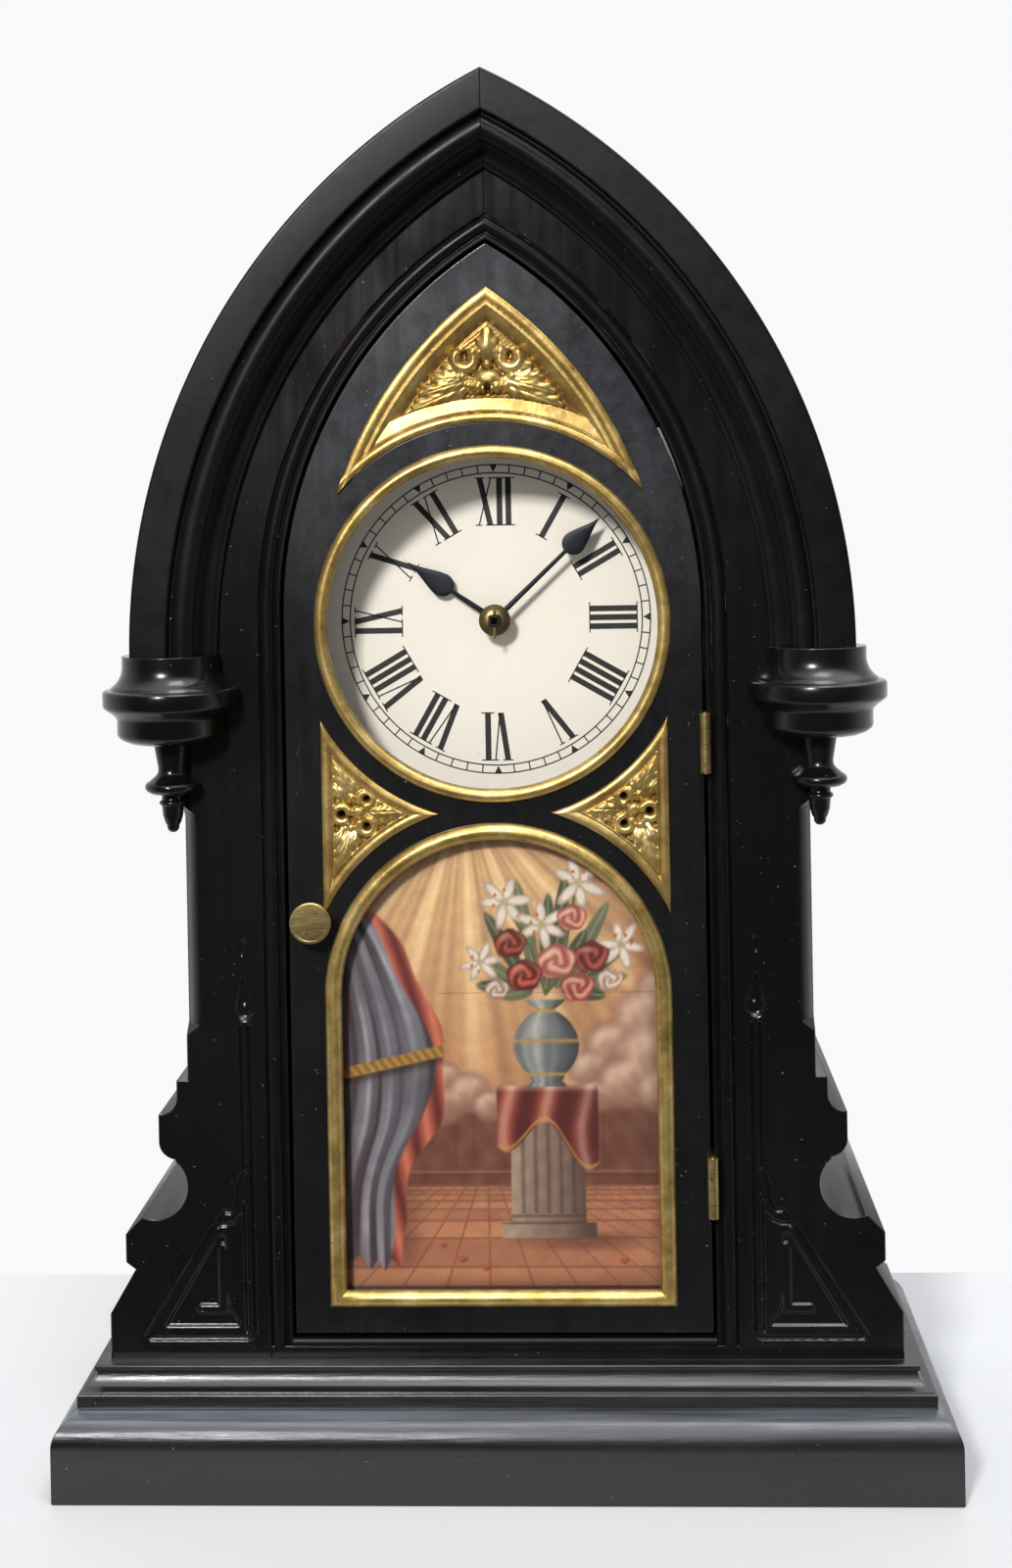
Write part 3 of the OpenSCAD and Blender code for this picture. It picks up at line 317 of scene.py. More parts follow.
# %% Outline of the board
def resample(path, step):
    """The path again with its points evenly spread, about step apart."""
    gap = np.hypot(*np.diff(path, axis=0).T)
    at = np.concatenate([[0], np.cumsum(gap)])
    n = max(2, int(round(at[-1] / step)) + 1)
    s = np.linspace(0, at[-1], n)
    return np.stack([np.interp(s, at, path[:, k]) for k in (0, 1)], -1)


def bracket_line():
    """The bracket's outline from its foot up to the side of the case, as X and Z: two
    slopes, a step, the round scoop, the nose with its rounded chin and a small hollow.
    Also the length of the outline up to the scoop's lower lip."""
    w, h, c, b = 35.3, 120, case_hw, base_z
    low = line((c + w, b), (c + w, b + 19.2), (c + w - 11.3, b + 38.4),
               (c + w - 7.2, b + 41.5), (c + w - 7.2, b + 53.5), (c + 20.63, b + 60.97))
    scoop = arc((c + 15, b + 74), 14.2, -66.6, -231, 40)
    chin = arc((c + 5.5, b + 93.4), 7.4, -90, 0, 12)
    hollow = arc((c + 12, b + h - 7.5), 7.2, 270, 180, 12)
    lip = np.sum(np.hypot(*np.diff(low, axis=0).T))
    return np.concatenate([low, scoop, chin, [(c + 12.9, b + 105.3)], hollow,
                           [(c + 4.8, b + h), (c, b + h)]]), lip


whole_bracket, lip_at = bracket_line()
outline_step = 0.45
low_part = resample(whole_bracket, outline_step)
carved_top = 240
outline = np.concatenate([
    low_part, line((case_hw, base_z + 120.2), (case_hw, carved_top), n=124),
    line((case_hw, carved_top), (case_hw, spring_z), n=78)[1:],
    pointed(roof_r, arch_off, spring_z, spring_z - 1, 2, 85)[1:]])
print("outline points", len(outline), "top", outline[-1].round(1))

# %% Depth of the carving
def near(x, z, points):
    """Distance from each place to a broken line: the least of the distances to its
    straight runs, where the place along a run is clamped between its ends."""
    best = np.full(np.broadcast(x, z).shape, 1e9)
    for (ax, az), (bx, bz) in zip(points[:-1], points[1:]):
        dx, dz = bx - ax, bz - az
        t = np.clip(((x - ax) * dx + (z - az) * dz) / (dx * dx + dz * dz + 1e-9), 0, 1)
        best = np.minimum(best, np.hypot(x - ax - t * dx, z - az - t * dz))
    return best


def cut(distance, half_width, depth):
    """A gouge cut: full depth on the line, rising as a round hollow to the face."""
    t = np.clip(distance / half_width, 0, 1)
    return depth * np.sqrt(np.maximum(0, 1 - t * t)) * (1 - t * t * t)


def smooth(t):
    """0 below 0, 1 above 1 and a soft step between them."""
    t = np.clip(t, 0, 1)
    return t * t * (3 - 2 * t)


def inside_polygon(x, z, points):
    """Signed distance to a closed outline, negative inside by the even-odd rule."""
    ring = list(points) + [points[0]]
    odd = np.zeros(np.broadcast(x, z).shape, bool)
    for (ax, az), (bx, bz) in zip(ring[:-1], ring[1:]):
        cross = (az > z) != (bz > z)
        odd ^= cross & (x < (bx - ax) * (z - az) / (bz - az + 1e-12) + ax)
    return np.where(odd, -1, 1) * near(x, z, ring)


def soft_line(distance, width):
    """1 on a line, falling off beside it as a bell curve of that width."""
    return np.exp(-(distance / width) ** 2)


def cut_all(deep, x, z, cuts):
    """The depth with more gouge cuts: the points, half width and depth of each."""
    for points, half_width, depth in cuts:
        deep = np.maximum(deep, cut(near(x, z, points), half_width, depth))
    return deep


def carving(x, z):
    """How deep the face is cut at each place, in mm, with X counted from the stem."""
    x = x - (case_hw - 25.3)
    deep = cut_all(0, x, z, (
        ([(-1.75, 194), (-2.1, 100), (-2.1, 61)], 1.0, 1.35),
        ([(1.75, 194), (1.75, 132)], 0.9, 1.2), ([(1.75, 118), (1.5, 62.5)], 0.8, 0.9),
        ([(1.2, 131), (2.9, 129.2), (4.1, 125.8), (4.4, 121), (5.4, 116.5), (7.6, 114),
          (10.4, 114.2), (12.2, 111.8), (12.8, 108.2)], 1.0, 1.1),
        ([(3.2, 112.6), (5.6, 110), (9.5, 108.4), (13.5, 108.4)], 0.8, 0.8),
        ([(-2.1, 61.8), (-1.2, 60.0), (1, 59.4), (43.5, 59.4), (44.6, 60.6), (15.3, 107.4),
          (13.2, 108.4)], 1.0, 1.2)))
    panel = smooth(-inside_polygon(x, z, [(4, 64.2), (37.6, 64.2), (14.2, 103.6), (12, 105),
                                          (9.4, 103.5), (9.4, 80), (8, 72), (4, 67)]) / 1.3)
    ell = near(x, z, [(11.4, 98.5), (11.4, 72), (21.2, 72)])
    deep = np.maximum(deep, 1.35 * panel) - 1.2 * smooth(2.3 - ell) * panel
    bud = np.hypot(x / 4.3, (z - 201.8) / 5.4)
    flame = inside_polygon(x, z, [(-3.6, 204), (3.6, 204), (0.6, 216)])
    deep = np.maximum(deep, 1.7 * smooth((1.12 - bud) / 0.55))
    deep = np.maximum(deep, 1.3 * smooth(0.5 - flame / 1.6)) - 0.75 * smooth((0.55 - bud) / 0.5)
    comma = [(-0.6, 231.5), (1.0, 230.6), (1.5, 228), (0.6, 225.4)]
    notches = ((187.5, 2.0), (173, 2.3), (159.5, 2.1), (152.5, 2.3), (137, 2.4), (131, 2.8),
               (116.5, 3.4), (84, 3.2))
    deep = cut_all(deep, x, z, [(comma, 0.9, 0.8)] + [
        ([(-wide, at), (0, at - 0.5), (wide, at + 0.2)], 0.34, 0.2) for at, wide in notches])
    return np.where(z < carved_top, deep, 0)


# %% Rule the face between the door bead and the outline
# Beside the bracket the rows slope, so that none crosses the scoop's undercut lip.
bead_r = opening_r + bead_w
straight = outline[:, 1] <= spring_z
n_bracket, n_arc = len(low_part), int(np.sum(~straight))
inner_line = np.zeros_like(outline)
inner_line[straight, 0] = bead_r - door_off
inner_line[straight, 1] = outline[straight, 1]
along = np.arange(n_bracket) * outline_step
inner_line[:n_bracket, 1] = np.interp(along, [0, lip_at, along[-1]],
                                      [base_z, base_z + 37, base_z + 120])
run = resample(pointed(bead_r, door_off, door_spring, spring_z, 12, 200), 0.5)
pick = np.linspace(0, len(run) - 1, n_arc + 1)[1:]
inner_line[~straight] = np.stack([np.interp(pick, np.arange(len(run)), run[:, k])
                                  for k in (0, 1)], -1)


def chamfer(z):
    """Width of the stopped chamfer on the corner: full between its two sloping stops."""
    side, spread = 6, 1.42
    width = side / math.sqrt(2) * spread
    return width * smooth((z - 189.5) / 7) * smooth((290.5 - z) / 7) + 0.35


def carved_front(side, name):
    """The board with its carved face. Each loop starts at the door bead's inner back
    corner, crosses the face, turns the outer edge and comes back behind."""
    columns = 146
    s = np.linspace(0, 1, columns)[None, :]
    ax, az = inner_line[:, :1], inner_line[:, 1:]
    bx, bz = outline[:, :1], outline[:, 1:]
    length = np.hypot(bx - ax, bz - az)
    ease = chamfer(bz) * (bx > case_hw - 0.01) * (np.abs(bx - case_hw) < 0.01) + 0.35
    s = s * (1 - ease / length)
    x, z = ax + s * (bx - ax), az + s * (bz - az)
    face = stack(x, face_y + carving(x, z), z)
    is_bracket = np.arange(len(bz))[:, None] < n_bracket
    far = np.where(is_bracket, back_y, inner_y)
    edge_pt = stack(bx, face_y + ease, bz)
    corner = stack(bx, far, bz)
    back = stack(np.where(is_bracket, case_hw, bx), far, bz)
    step = stack(np.where(is_bracket, case_hw, bx), inner_y, bz)
    close = stack(ax, inner_y, az)
    loops = np.concatenate([face, edge_pt, corner, back, step, close], 1) * [side, 1, 1]
    board = skin("carved_front_" + name, [(loops, False)], sharp=50)
    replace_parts(board, "bracket_" + name, "front_board_" + name)


for side, name in SIDES:
    carved_front(side, name)

# %% [markdown]
# ## The turned drops
# Under each end of the hood hangs a turned drop, cut away where it meets the corner of the
# case. It is a profile turned round an upright line; in the corner's quarter, the radius
# stops at the two faces of the case.

# %% Turn the drops
drop_x, drop_y, drop_z = case_hw + 3, face_y - 4.6, spring_z - 76
cap, ring, drum, h = 20.6, 29, 23, 76
profile = np.concatenate([
    [[0, 0]], arc((0, 2.6), 2.6, -60, 10, 5), [[3.4, 4.4], [4.3, 7.5], [4.6, 10.9]],
    arc((4.7, 12.9), 1.1, -80, 80, 6), [[4.6, 14.6], [4.7, 16.2], [9.2, 17.0]],
    arc((9.4, 19.8), 2.3, -70, 70, 8), [[8.6, 23.2], [7.0, 24.6], [6.1, 26.0], [6.0, 28],
    [7.5, h - 39.2], [7.3, h - 38.2], [9.6, h - 37.9], [drum - 9, h - 37.7],
    [drum - 5.5, h - 37.1], [drum - 2.4, h - 35.8], [drum - 0.6, h - 34.4],
    [drum, h - 33.0], [drum, h - 27.0], [drum + 0.5, h - 26.0], [ring - 4, h - 24.6],
    [ring - 1.6, h - 22.8], [ring - 0.4, h - 21.8], [ring, h - 20.8], [ring, h - 15.6],
    [ring - 0.4, h - 14.8], [ring - 1.2, h - 14.4], [ring - 3.2, h - 14.3]],
    arc((ring + 2, h - 4.5), ring + 2 - cap, 236, 180, 9), [[cap, h], [0, h]]])


def turned(profile, n, stop=None):
    """Radius and height turned round an upright line at the origin, n steps; stop is the
    greatest radius at each angle."""
    a = full_turn(n)[:, None]
    r = np.broadcast_to(profile[:, 0][None], (n, len(profile)))
    if stop is not None:
        r = np.minimum(r, stop(a))
    return stack(r * np.cos(a), r * np.sin(a), profile[:, 1][None])


def corner_stop(a):
    """Distance along each direction to the case's corner, where the direction meets it."""
    x, y = np.cos(a), np.sin(a)
    hits = (x < -1e-6) & (y > 1e-6)
    with np.errstate(divide="ignore"):
        reach = np.maximum((drop_x - case_hw) / np.maximum(-x, 1e-6),
                           (face_y - drop_y) / np.maximum(y, 1e-6))
    return np.where(hits, reach, 1e3)


for side, name in SIDES:
    loops = (turned(profile, 144, corner_stop) + [drop_x, drop_y, drop_z]) * [side, 1, 1]
    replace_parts(skin("turned_drop_" + name, [(loops, True)], sharp=40),
                "drop_" + name)

# %% [markdown]
# ## Gilt beads on the door
# A half round rings the dial, and another frames the picture. They are turned or carried
# round the opening; a flat back closes them against the door.

# %% Gilt ring and picture bead
def face_turn(profile, centre, n=180):
    """A profile of radii and forward heights turned round a line through the face."""
    a = full_turn(n)[:, None]
    r, forward = profile[:, 0][None], profile[:, 1][None]
    return stack(centre[0] + r * np.cos(a), face_y - forward, centre[1] + r * np.sin(a))


mid, half_w = (ring_in + ring_out) / 2, (ring_out - ring_in) / 2
ring_section = arc((mid, 0), half_w, 180, 0, 20)
dial_ring = skin("gilt_dial_ring", [(face_turn(ring_section, (0, dial_z)), True)],
                 "door")
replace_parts(dial_ring, "dial_bezel")

bead_across = 7.2
frame_section = arc((bead_across / 2, 0), bead_across / 2, 180, 0, 18)


def round_topped(inset):
    """The picture's outline drawn in by inset, from the left foot corner to the right
    one, up the side, over the round top and down again."""
    r, low = picture_hw - inset, picture_low + inset
    return np.concatenate([line((-r, low), (r, low), n=12),
                           line((r, low), (r, picture_top), n=14)[1:],
                           arc((0, picture_top), r, 0, 180, 90)[1:],
                           line((-r, picture_top), (-r, low), n=14)[1:-1]])


loops = np.stack([stack(p[:, 0], face_y - up, p[:, 1])
                  for p, up in ((round_topped(d), u) for d, u in frame_section)], 1)
picture_bead = skin("gilt_picture_bead", [(loops, True)], "door")
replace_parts(picture_bead, "picture_bead")

# %% [markdown]
# ## The gilded spandrels
# The three carved panels are gesso and gold on wood: a rounded border, a sloping bevel and
# a sunk field of leaves and scrolls. Each is a relief: a height at every point of a grid
# between a lower and an upper edge.

# %% Relief tools
def blend(a, b, k):
    """The higher of two heights, with the valley between them filled over k mm."""
    t = np.clip(0.5 + 0.5 * (a - b) / k, 0, 1)
    return b + (a - b) * t + k * t * (1 - t)


def turned_by(x, z, angle):
    """Places as seen from axes that are turned by an angle."""
    c, s = math.cos(math.radians(angle)), math.sin(math.radians(angle))
    return x * c + z * s, -x * s + z * c


def from_point(cx, cz, angle, rx, rz=None):
    """The place at an angle on a circle round a point, or on an oval of two radii."""
    a = math.radians(angle)
    return cx + rx * math.cos(a), cz + (rz or rx) * math.sin(a)


def dome(x, z, cx, cz, rx, rz, height, turn=0.0):
    """An oval mound: height times the root of 1 minus the squared distance."""
    u, v = turned_by(x - cx, z - cz, turn)
    return height * np.sqrt(np.maximum(0, 1 - (u / rx) ** 2 - (v / rz) ** 2))


def leaf(x, z, foot, tip, wide, height, lobes=4):
    """A leaf from foot to tip: a mound with scalloped edges, a groove along its middle
    and side veins, all measured along and across the line from foot to tip."""
    dx, dz = tip[0] - foot[0], tip[1] - foot[1]
    length = math.hypot(dx, dz)
    u = ((x - foot[0]) * dx + (z - foot[1]) * dz) / length ** 2
    v = (-(x - foot[0]) * dz + (z - foot[1]) * dx) / length
    width = wide * np.sqrt(np.maximum(0, u * (1 - u) * 4)) ** 0.9 \
        * (1 + 0.22 * np.cos(2 * np.pi * lobes * u - 0.8 * np.abs(v)))
    inside = np.clip(1 - (v / np.maximum(width, 0.01)) ** 2, 0, 1)
    side_vein = np.sin(np.pi * (lobes * u - np.abs(v) / 2.4))
    vein = soft_line(v, 0.45) + 0.5 * soft_line(side_vein, 0.3)
    shape = height * np.sqrt(inside) * (0.55 + 0.45 * np.sin(np.pi * np.clip(u, 0, 1)))
    return np.where((u > 0) & (u < 1), shape - 0.17 * vein * inside, 0)


def roll(x, z, points, radius, height):
    """A rounded rope along a broken line: height times the root of 1 minus the squared
    share of the distance."""
    return height * np.sqrt(np.maximum(0, 1 - (near(x, z, points) / radius) ** 2))


def half_round(d, width):
    """A rounded strip from 0 to its width, gilt_proud high and a little flattened."""
    return gilt_proud * np.sqrt(np.maximum(0, 1 - ((d - width / 2) / (width / 2)) ** 2)) ** 0.8


def border(d, width, floor=-2.4, slope=0.62):
    """The edge moulding at a distance d in from the outline: a half round, a thin groove,
    a narrow step, then a flat bevel that slopes down to the sunk field."""
    bevel = np.where(d < width + 1.9, 1.0, 0.9 - slope * (d - width - 1.9))
    return np.where(d < width, np.maximum(half_round(d, width), 0.2),
                    np.where(d < width + 0.45, 0.2, np.maximum(floor, bevel)))


def stipple(x, z, size=0.9):
    """A fine unevenness: three crossed sine waves of unlike lengths."""
    return (np.sin(x * 5.1 / size + 1.3 * np.sin(z * 2.3)) * np.sin(z * 4.7 / size)
            + 0.6 * np.sin(x * 2.2 - z * 3.1)) * 0.16


# %% Height of the panel over the dial
def top_relief(x, z, d_side, d_low):
    """The panel over the dial: side borders with a bevel, a flat band and a bead along
    the foot, and in the field a bud, two curls, a drooping rosette and leaves."""
    floor, ax = -2.4, np.abs(x)
    foot = np.select([d_low < 3.8, d_low < 4.3, d_low < 5.0, d_low < 10.4],
                     [half_round(d_low, 3.8), 0 * x - 0.5, 0 * x + 0.25,
                      0.35 - 0.13 * (d_low - 5.0)], floor)
    ground = np.maximum(border(d_side, 4.7), foot)
    curl = [from_point(9.8, 479.4, a, 4.3, 4.0) for a in range(-215, 36, 25)]
    forms = (  # the form, where it is measured, its own sizes, and how softly it joins
        (leaf, ax, ((5, 469.5), (32.5, 458.4), 5.0, 3.9, 5), 0.5),
        (leaf, ax, ((6, 471), (29.5, 464.5), 4.8, 4.3, 4), 0.5),
        (leaf, ax, ((8, 471.5), (24.5, 470.8), 4.4, 4.3, 4), 0.5),
        (leaf, ax, ((10, 473), (19.5, 477.4), 3.4, 3.8, 3), 0.5),
        (roll, ax, (curl, 2.6, 4.8), 0.5), (dome, ax, (5.9, 482.6, 2.5, 3.0, 4.9, 20), 0.5),
        (dome, ax, (13.6, 481.8, 2.3, 2.5, 4.4), 0.5),
        (dome, ax, (10.7, 472.0, 2.5, 2.3, 4.6), 0.4),
        (leaf, x, ((0, 477.5), (0, 493.2), 4.4, 5.0, 1), 0.4),
        (dome, ax, (3.3, 482.4, 1.9, 4.2, 4.2, 16), 0.5),
        (dome, x, (0, 477.0, 2.4, 2.0, 5.0), 0.4), (dome, x, (0, 471.0, 6.2, 4.4, 5.2), 0.4),
        (dome, ax, (3.9, 467.6, 2.6, 3.4, 4.9, 10), 0.4),
        (dome, ax, (8.0, 468.2, 2.2, 2.6, 4.3), 0.4),
        (dome, ax, (1.6, 466.6, 1.5, 2.4, 4.3), 0.3))
    work = floor + 0.3 + stipple(x, z)
    for form, across, sizes, soft in forms:
        work = blend(work, floor + form(across, z, *sizes), soft)
    hole = np.hypot(x / 1.35, (z - 467.2) / 2.3)
    eye = np.hypot((ax - 9.8) / 1.7, (z - 481.0) / 2.6)
    work = work - 3.4 * smooth((1.2 - hole) / 0.5) - 1.6 * smooth((1.0 - eye) / 0.6)
    in_field = smooth((d_side - 11.9) / 0.8) * smooth((d_low - 10.2) / 0.5)
    return ground * (1 - in_field) + np.clip(work, -4.2, 2.6) * in_field


def corner_relief(x, z, d_line, d_up, d_low):
    """The panels below the dial: narrow borders and a field of leaves round a rosette
    with three curled, drilled ends."""
    floor, d = -2.2, np.minimum(np.minimum(d_line, d_up), d_low)
    leaves = (((60.5, 289.5), (70.2, 314), 5.2, 4.3, 5), ((57.5, 290.5), (64.5, 307), 3.6, 3.8, 4),
              ((63.5, 290), (71.2, 301), 3.0, 3.6, 3), ((57.0, 286), (35.0, 286.6), 5.0, 4.3, 5),
              ((56, 289), (44.5, 291.5), 2.8, 3.6, 3), ((55, 283.5), (42.5, 281.6), 2.6, 3.4, 3),
              ((61.5, 281), (70.0, 254), 5.0, 4.2, 5), ((59.5, 280), (62.5, 267.5), 3.4, 3.7, 3),
              ((64.5, 281), (71.4, 268), 3.0, 3.6, 3))
    forms = [leaf(x, z, *sizes) for sizes in leaves]
    for cx, cz, r, start, high in ((66.0, 285.3, 3.4, -120, 4.6), (55.3, 280.2, 3.2, 100, 4.5),
                                   (55.4, 291.6, 3.0, -10, 4.2)):
        ring = [from_point(cx, cz, start + a, r) for a in range(0, 281, 28)]
        forms += [roll(x, z, ring, 2.2, high), dome(x, z, *ring[-1], 2.5, 2.5, high + 0.3)]
    forms += [dome(x, z, *sizes) for sizes in ((58.8, 286.0, 4.0, 3.2, 4.9, 30),
                                               (61.5, 292.5, 2.2, 2.2, 4.3),
                                               (62.0, 279.6, 2.3, 2.0, 4.2))]
    work = floor + 0.4 + stipple(x, z)
    for shape in forms:
        work = blend(work, floor + shape, 0.8)
    for cx, cz, r in ((66.2, 285.4, 1.6), (55.1, 280.0, 1.5), (55.1, 292.0, 1.4)):
        work = work - 2.8 * smooth((1.25 - np.hypot(x - cx, z - cz) / r) / 0.5)
    in_field = smooth((d - 5.0) / 0.7)
    return border(d, 4.3, floor, 3.0) * (1 - in_field) + np.clip(work, -3.9, 2.4) * in_field


# %% Cut the three panels
def relief_panel(name, x, low, high, height, n):
    """A panel between two edges, given as arrays over X. Each loop crosses the face from
    the lower edge to the upper one and comes back about 4 mm behind the door's face."""
    v = np.linspace(0, 1, n)[None, :]
    z = low[:, None] + (high - low)[:, None] * v
    up = height(x[:, None], z)
    up[:, 0] = up[:, -1] = 0.02
    face = stack(x[:, None], face_y - up, z)
    behind = np.stack([stack(x, face_y + 3.9, high), stack(x, face_y + 3.9, low)], 1)
    panel = skin(name, [(np.concatenate([face, behind], 1), False)],
                 "door", sharp=60)
    # The hollow attribute holds how deep each point is sunk; the gold paints shade there.
    depth = panel.data.attributes.new("hollow", "FLOAT", "POINT")
    y = np.empty(len(panel.data.vertices) * 3)
    panel.data.vertices.foreach_get("co", y)
    sunk = y[1::3] / MM - face_y + gilt_proud
    depth.data.foreach_set("value", np.clip(sunk / 4.5, 0, 1))
    return panel


# The columns of the upper panel stand closer towards its two tips, as a sine does.
tip, ease, columns = 66.0, 0.9, 361
top_r, top_foot_r = door_r - 15.5, 86.5
x = tip * np.sin(np.linspace(-np.pi / 2, np.pi / 2, columns) * ease) / math.sin(np.pi / 2 * ease)
low = dial_z + np.sqrt(top_foot_r ** 2 - x ** 2)
high = door_spring + np.sqrt(top_r * top_r - (np.abs(x) + door_off) ** 2)
top_panel = relief_panel(
    "gilt_top_panel", x, low, np.maximum(high, low + 0.02),
    lambda x, z: top_relief(x, z, top_r - np.hypot(np.abs(x) + door_off, z - door_spring),
                            np.hypot(x, z - dial_z) - top_foot_r), 170)
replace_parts(top_panel, "top_spandrel")

up_r, low_r, tip_x, columns, rows = 84.6, 82.2, 24.2, 190, 220
for side, name in SIDES:
    x = np.linspace(tip_x, picture_hw, columns)
    low = picture_top + np.sqrt(np.maximum(low_r ** 2 - x ** 2, 0))
    high = dial_z - np.sqrt(np.maximum(up_r ** 2 - x ** 2, 0))
    high = np.maximum(high, low + 0.02)
    panel = relief_panel(
        "gilt_corner_panel_" + name, x, low, high,
        lambda x, z: corner_relief(x, z, picture_hw - x, np.hypot(x, z - dial_z) - up_r,
                                   np.hypot(x, z - picture_top) - low_r), rows)
    if side < 0:
        panel.data.transform(Matrix.Diagonal((-1, 1, 1, 1)))
        panel.data.flip_normals()
    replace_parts(panel, "spandrel_" + name)

# %% [markdown]
# ## The knob and the hands
# The knob is turned brass. The hands are filed from steel: a stem, a pear-shaped belly and
# a long point, each crossed by a low rounded section, so that they catch a thin light.

# %% Turn the knob
knob_x, knob_z, knob_out = -78.9, 240.7, 14
knob_profile = np.concatenate([
    [[0, -19.2], [2, -19.2], [2, 0.1], [4.2, 0.1], [4.4, 0.4], [4.4, 1.0], [3.6, 1.7]],
    arc((6.2, 5.4), 3.4, 215, 145, 8), [[5.6, knob_out - 4.9], [7.9, knob_out - 3.7]],
    arc((8.15, knob_out - 2.5), 0.7, -70, 110, 10), [[7.7, knob_out - 1.8], [7.5, knob_out - 1.95]],
    stack(np.linspace(7.3, 0, 8), knob_out - 1.95 + 0.25 * np.linspace(0, 1, 8) ** 0.7, 0)[:, :2]])
knob = skin("turned_knob", [(face_turn(knob_profile, (knob_x, knob_z), 96), True)],
            "knob")
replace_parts(knob, "door_knob")

# %% File the hands
def hand(name, reach, belly, hub, angle, back, body, node):
    """A hand as loops across its length. Its half width follows the hub's circle, the
    stem, the pear and the point; the section is a low arc over a flat back."""
    s = np.concatenate([np.linspace(-hub, hub, 40), np.linspace(hub, belly - 6, 14)[1:],
                        np.linspace(belly - 6, belly + 10, 60)[1:],
                        np.linspace(belly + 10, reach, 20)[1:]])
    disc = np.sqrt(np.maximum(0, hub ** 2 - s ** 2))
    stem = np.where((s > 0) & (s < belly), 1.2 - 0.3 * smooth(s / belly), 0)
    pear = np.where(s < belly, 5.2 * np.sqrt(np.maximum(0, 1 - ((s - belly) / 5.6) ** 2)), 0)
    t = np.clip((s - belly) / (reach - belly), 0, 1)
    point = np.where(s >= belly, 5.2 * (1 - t) ** 2.1 * (1 + 1.5 * t), 0)
    w = np.maximum.reduce([disc, stem, pear, point, np.full_like(s, 0.08)])[:, None]
    u = np.cos(np.linspace(np.pi, 0, 13))[None, :]
    crown = 0.9 - 0.42 * np.abs(u) ** 3
    front = stack(w * u, -crown * np.minimum(1, w / 0.8), s[:, None])
    rear = stack(w * np.array([[1, -1]]), 0, s[:, None])
    loops = np.concatenate([front, rear], 1)
    a = math.radians(angle)
    x, z = loops[..., 0], loops[..., 2]
    loops = stack(x * math.cos(a) + z * math.sin(a), loops[..., 1] + back,
                  -x * math.sin(a) + z * math.cos(a) + dial_z)
    piece = skin(name, [(loops, False)], body, sharp=50)
    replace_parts(piece, node)


hand("filed_hour_hand", 49, 28.5, 5.5, 304, edge("hour_hand", 1, 1), "hour_pipe", "hour_hand")
hand("filed_minute_hand", 67, 49, 4.5, 46.7, edge("minute_hand", 1, 1), "minute_arbor",
     "minute_hand")

# %% Turn the collet
# It is a brass dome with a shallow step. The dark square end of the arbor stands out of it,
# and a taper pin through the square holds both hands.
arbor_y, collet_y = edge("centre_wheel", 1, 0), edge("minute_hand", 1, 0)
dome_profile = np.array([[0, 0], [6.9, 0], [7.0, 0.3], [7.0, 0.9], [6.8, 1.15], [6.2, 1.5],
                         [5.2, 2.4], [4.0, 3.0], [2.6, 3.35], [0, 3.5]])
dome_loops = face_turn(dome_profile, (0, dial_z), 72) + [0, collet_y - face_y, 0]
pin_at, pin_r = np.array([0, collet_y - 4.6]), 0.62
pin = stack(pin_r * np.cos(full_turn(12))[None], pin_at[1] + pin_r * np.sin(full_turn(12))[None],
            dial_z + np.array([[-8.0], [-7.6], [5.0]]))
pin[0, :, :2] = (pin[0, :, :2] - pin_at) * 0.5 + pin_at
collet = skin("turned_collet", [(dome_loops, True), (pin, False)], "minute_arbor")
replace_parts(collet, "hand_collet")
end = np.array([[-2.6, -2.0], [-2.0, -2.6], [2.0, -2.6], [2.6, -2.0],
                [2.6, 2.0], [2.0, 2.6], [-2.0, 2.6], [-2.6, 2.0]])
square = np.stack([stack(end[:, 0] * k, y, end[:, 1] * k + dial_z)
                   for k, y in ((1, collet_y - 2), (1, arbor_y + 0.5), (0.82, arbor_y))])
arbor_end = skin("arbor_square", [(square, False)], "minute_arbor", sharp=20)

# %% [markdown]
# ## The dial print
# The dial is cream paper with heavy Roman numerals, a minute track and a small dart at
# each hour, all printed. The print is made of thin black shapes that lie on the paper, so
# its edges stay sharp at any size.

# %% Shapes of the print
dial_y = edge("dial_plate", 1, 0)
chapter, track_line = 69.1, 0.58
ink_up, ink_down = 0.06, 0.02


def on_dial(points, angle):
    """Points given as across and outwards, turned to their place on the dial."""
    a = math.radians(angle)
    p = np.asarray(points, float)
    return np.stack([p[:, 0] * math.cos(a) + p[:, 1] * math.sin(a),
                     -p[:, 0] * math.sin(a) + p[:, 1] * math.cos(a) + dial_z], -1)


def stroke(a, b, wide):
    """A straight stroke between two points, cut square across the dial's radius."""
    return [(a[0] - wide / 2, a[1]), (a[0] + wide / 2, a[1]),
            (b[0] + wide / 2, b[1]), (b[0] - wide / 2, b[1])]


low_r, high_r = 0.607 * chapter, 0.912 * chapter
thick, thin, pitch = 2.6, 0.65, 3.95
WIDTH = {"I": pitch, "V": 8.6, "X": 9.0}


def serif(left, right, at):
    """A thin line across the ends of the strokes, from left to right."""
    return [(left, at - 0.27), (right, at - 0.27), (right, at + 0.27), (left, at + 0.27)]


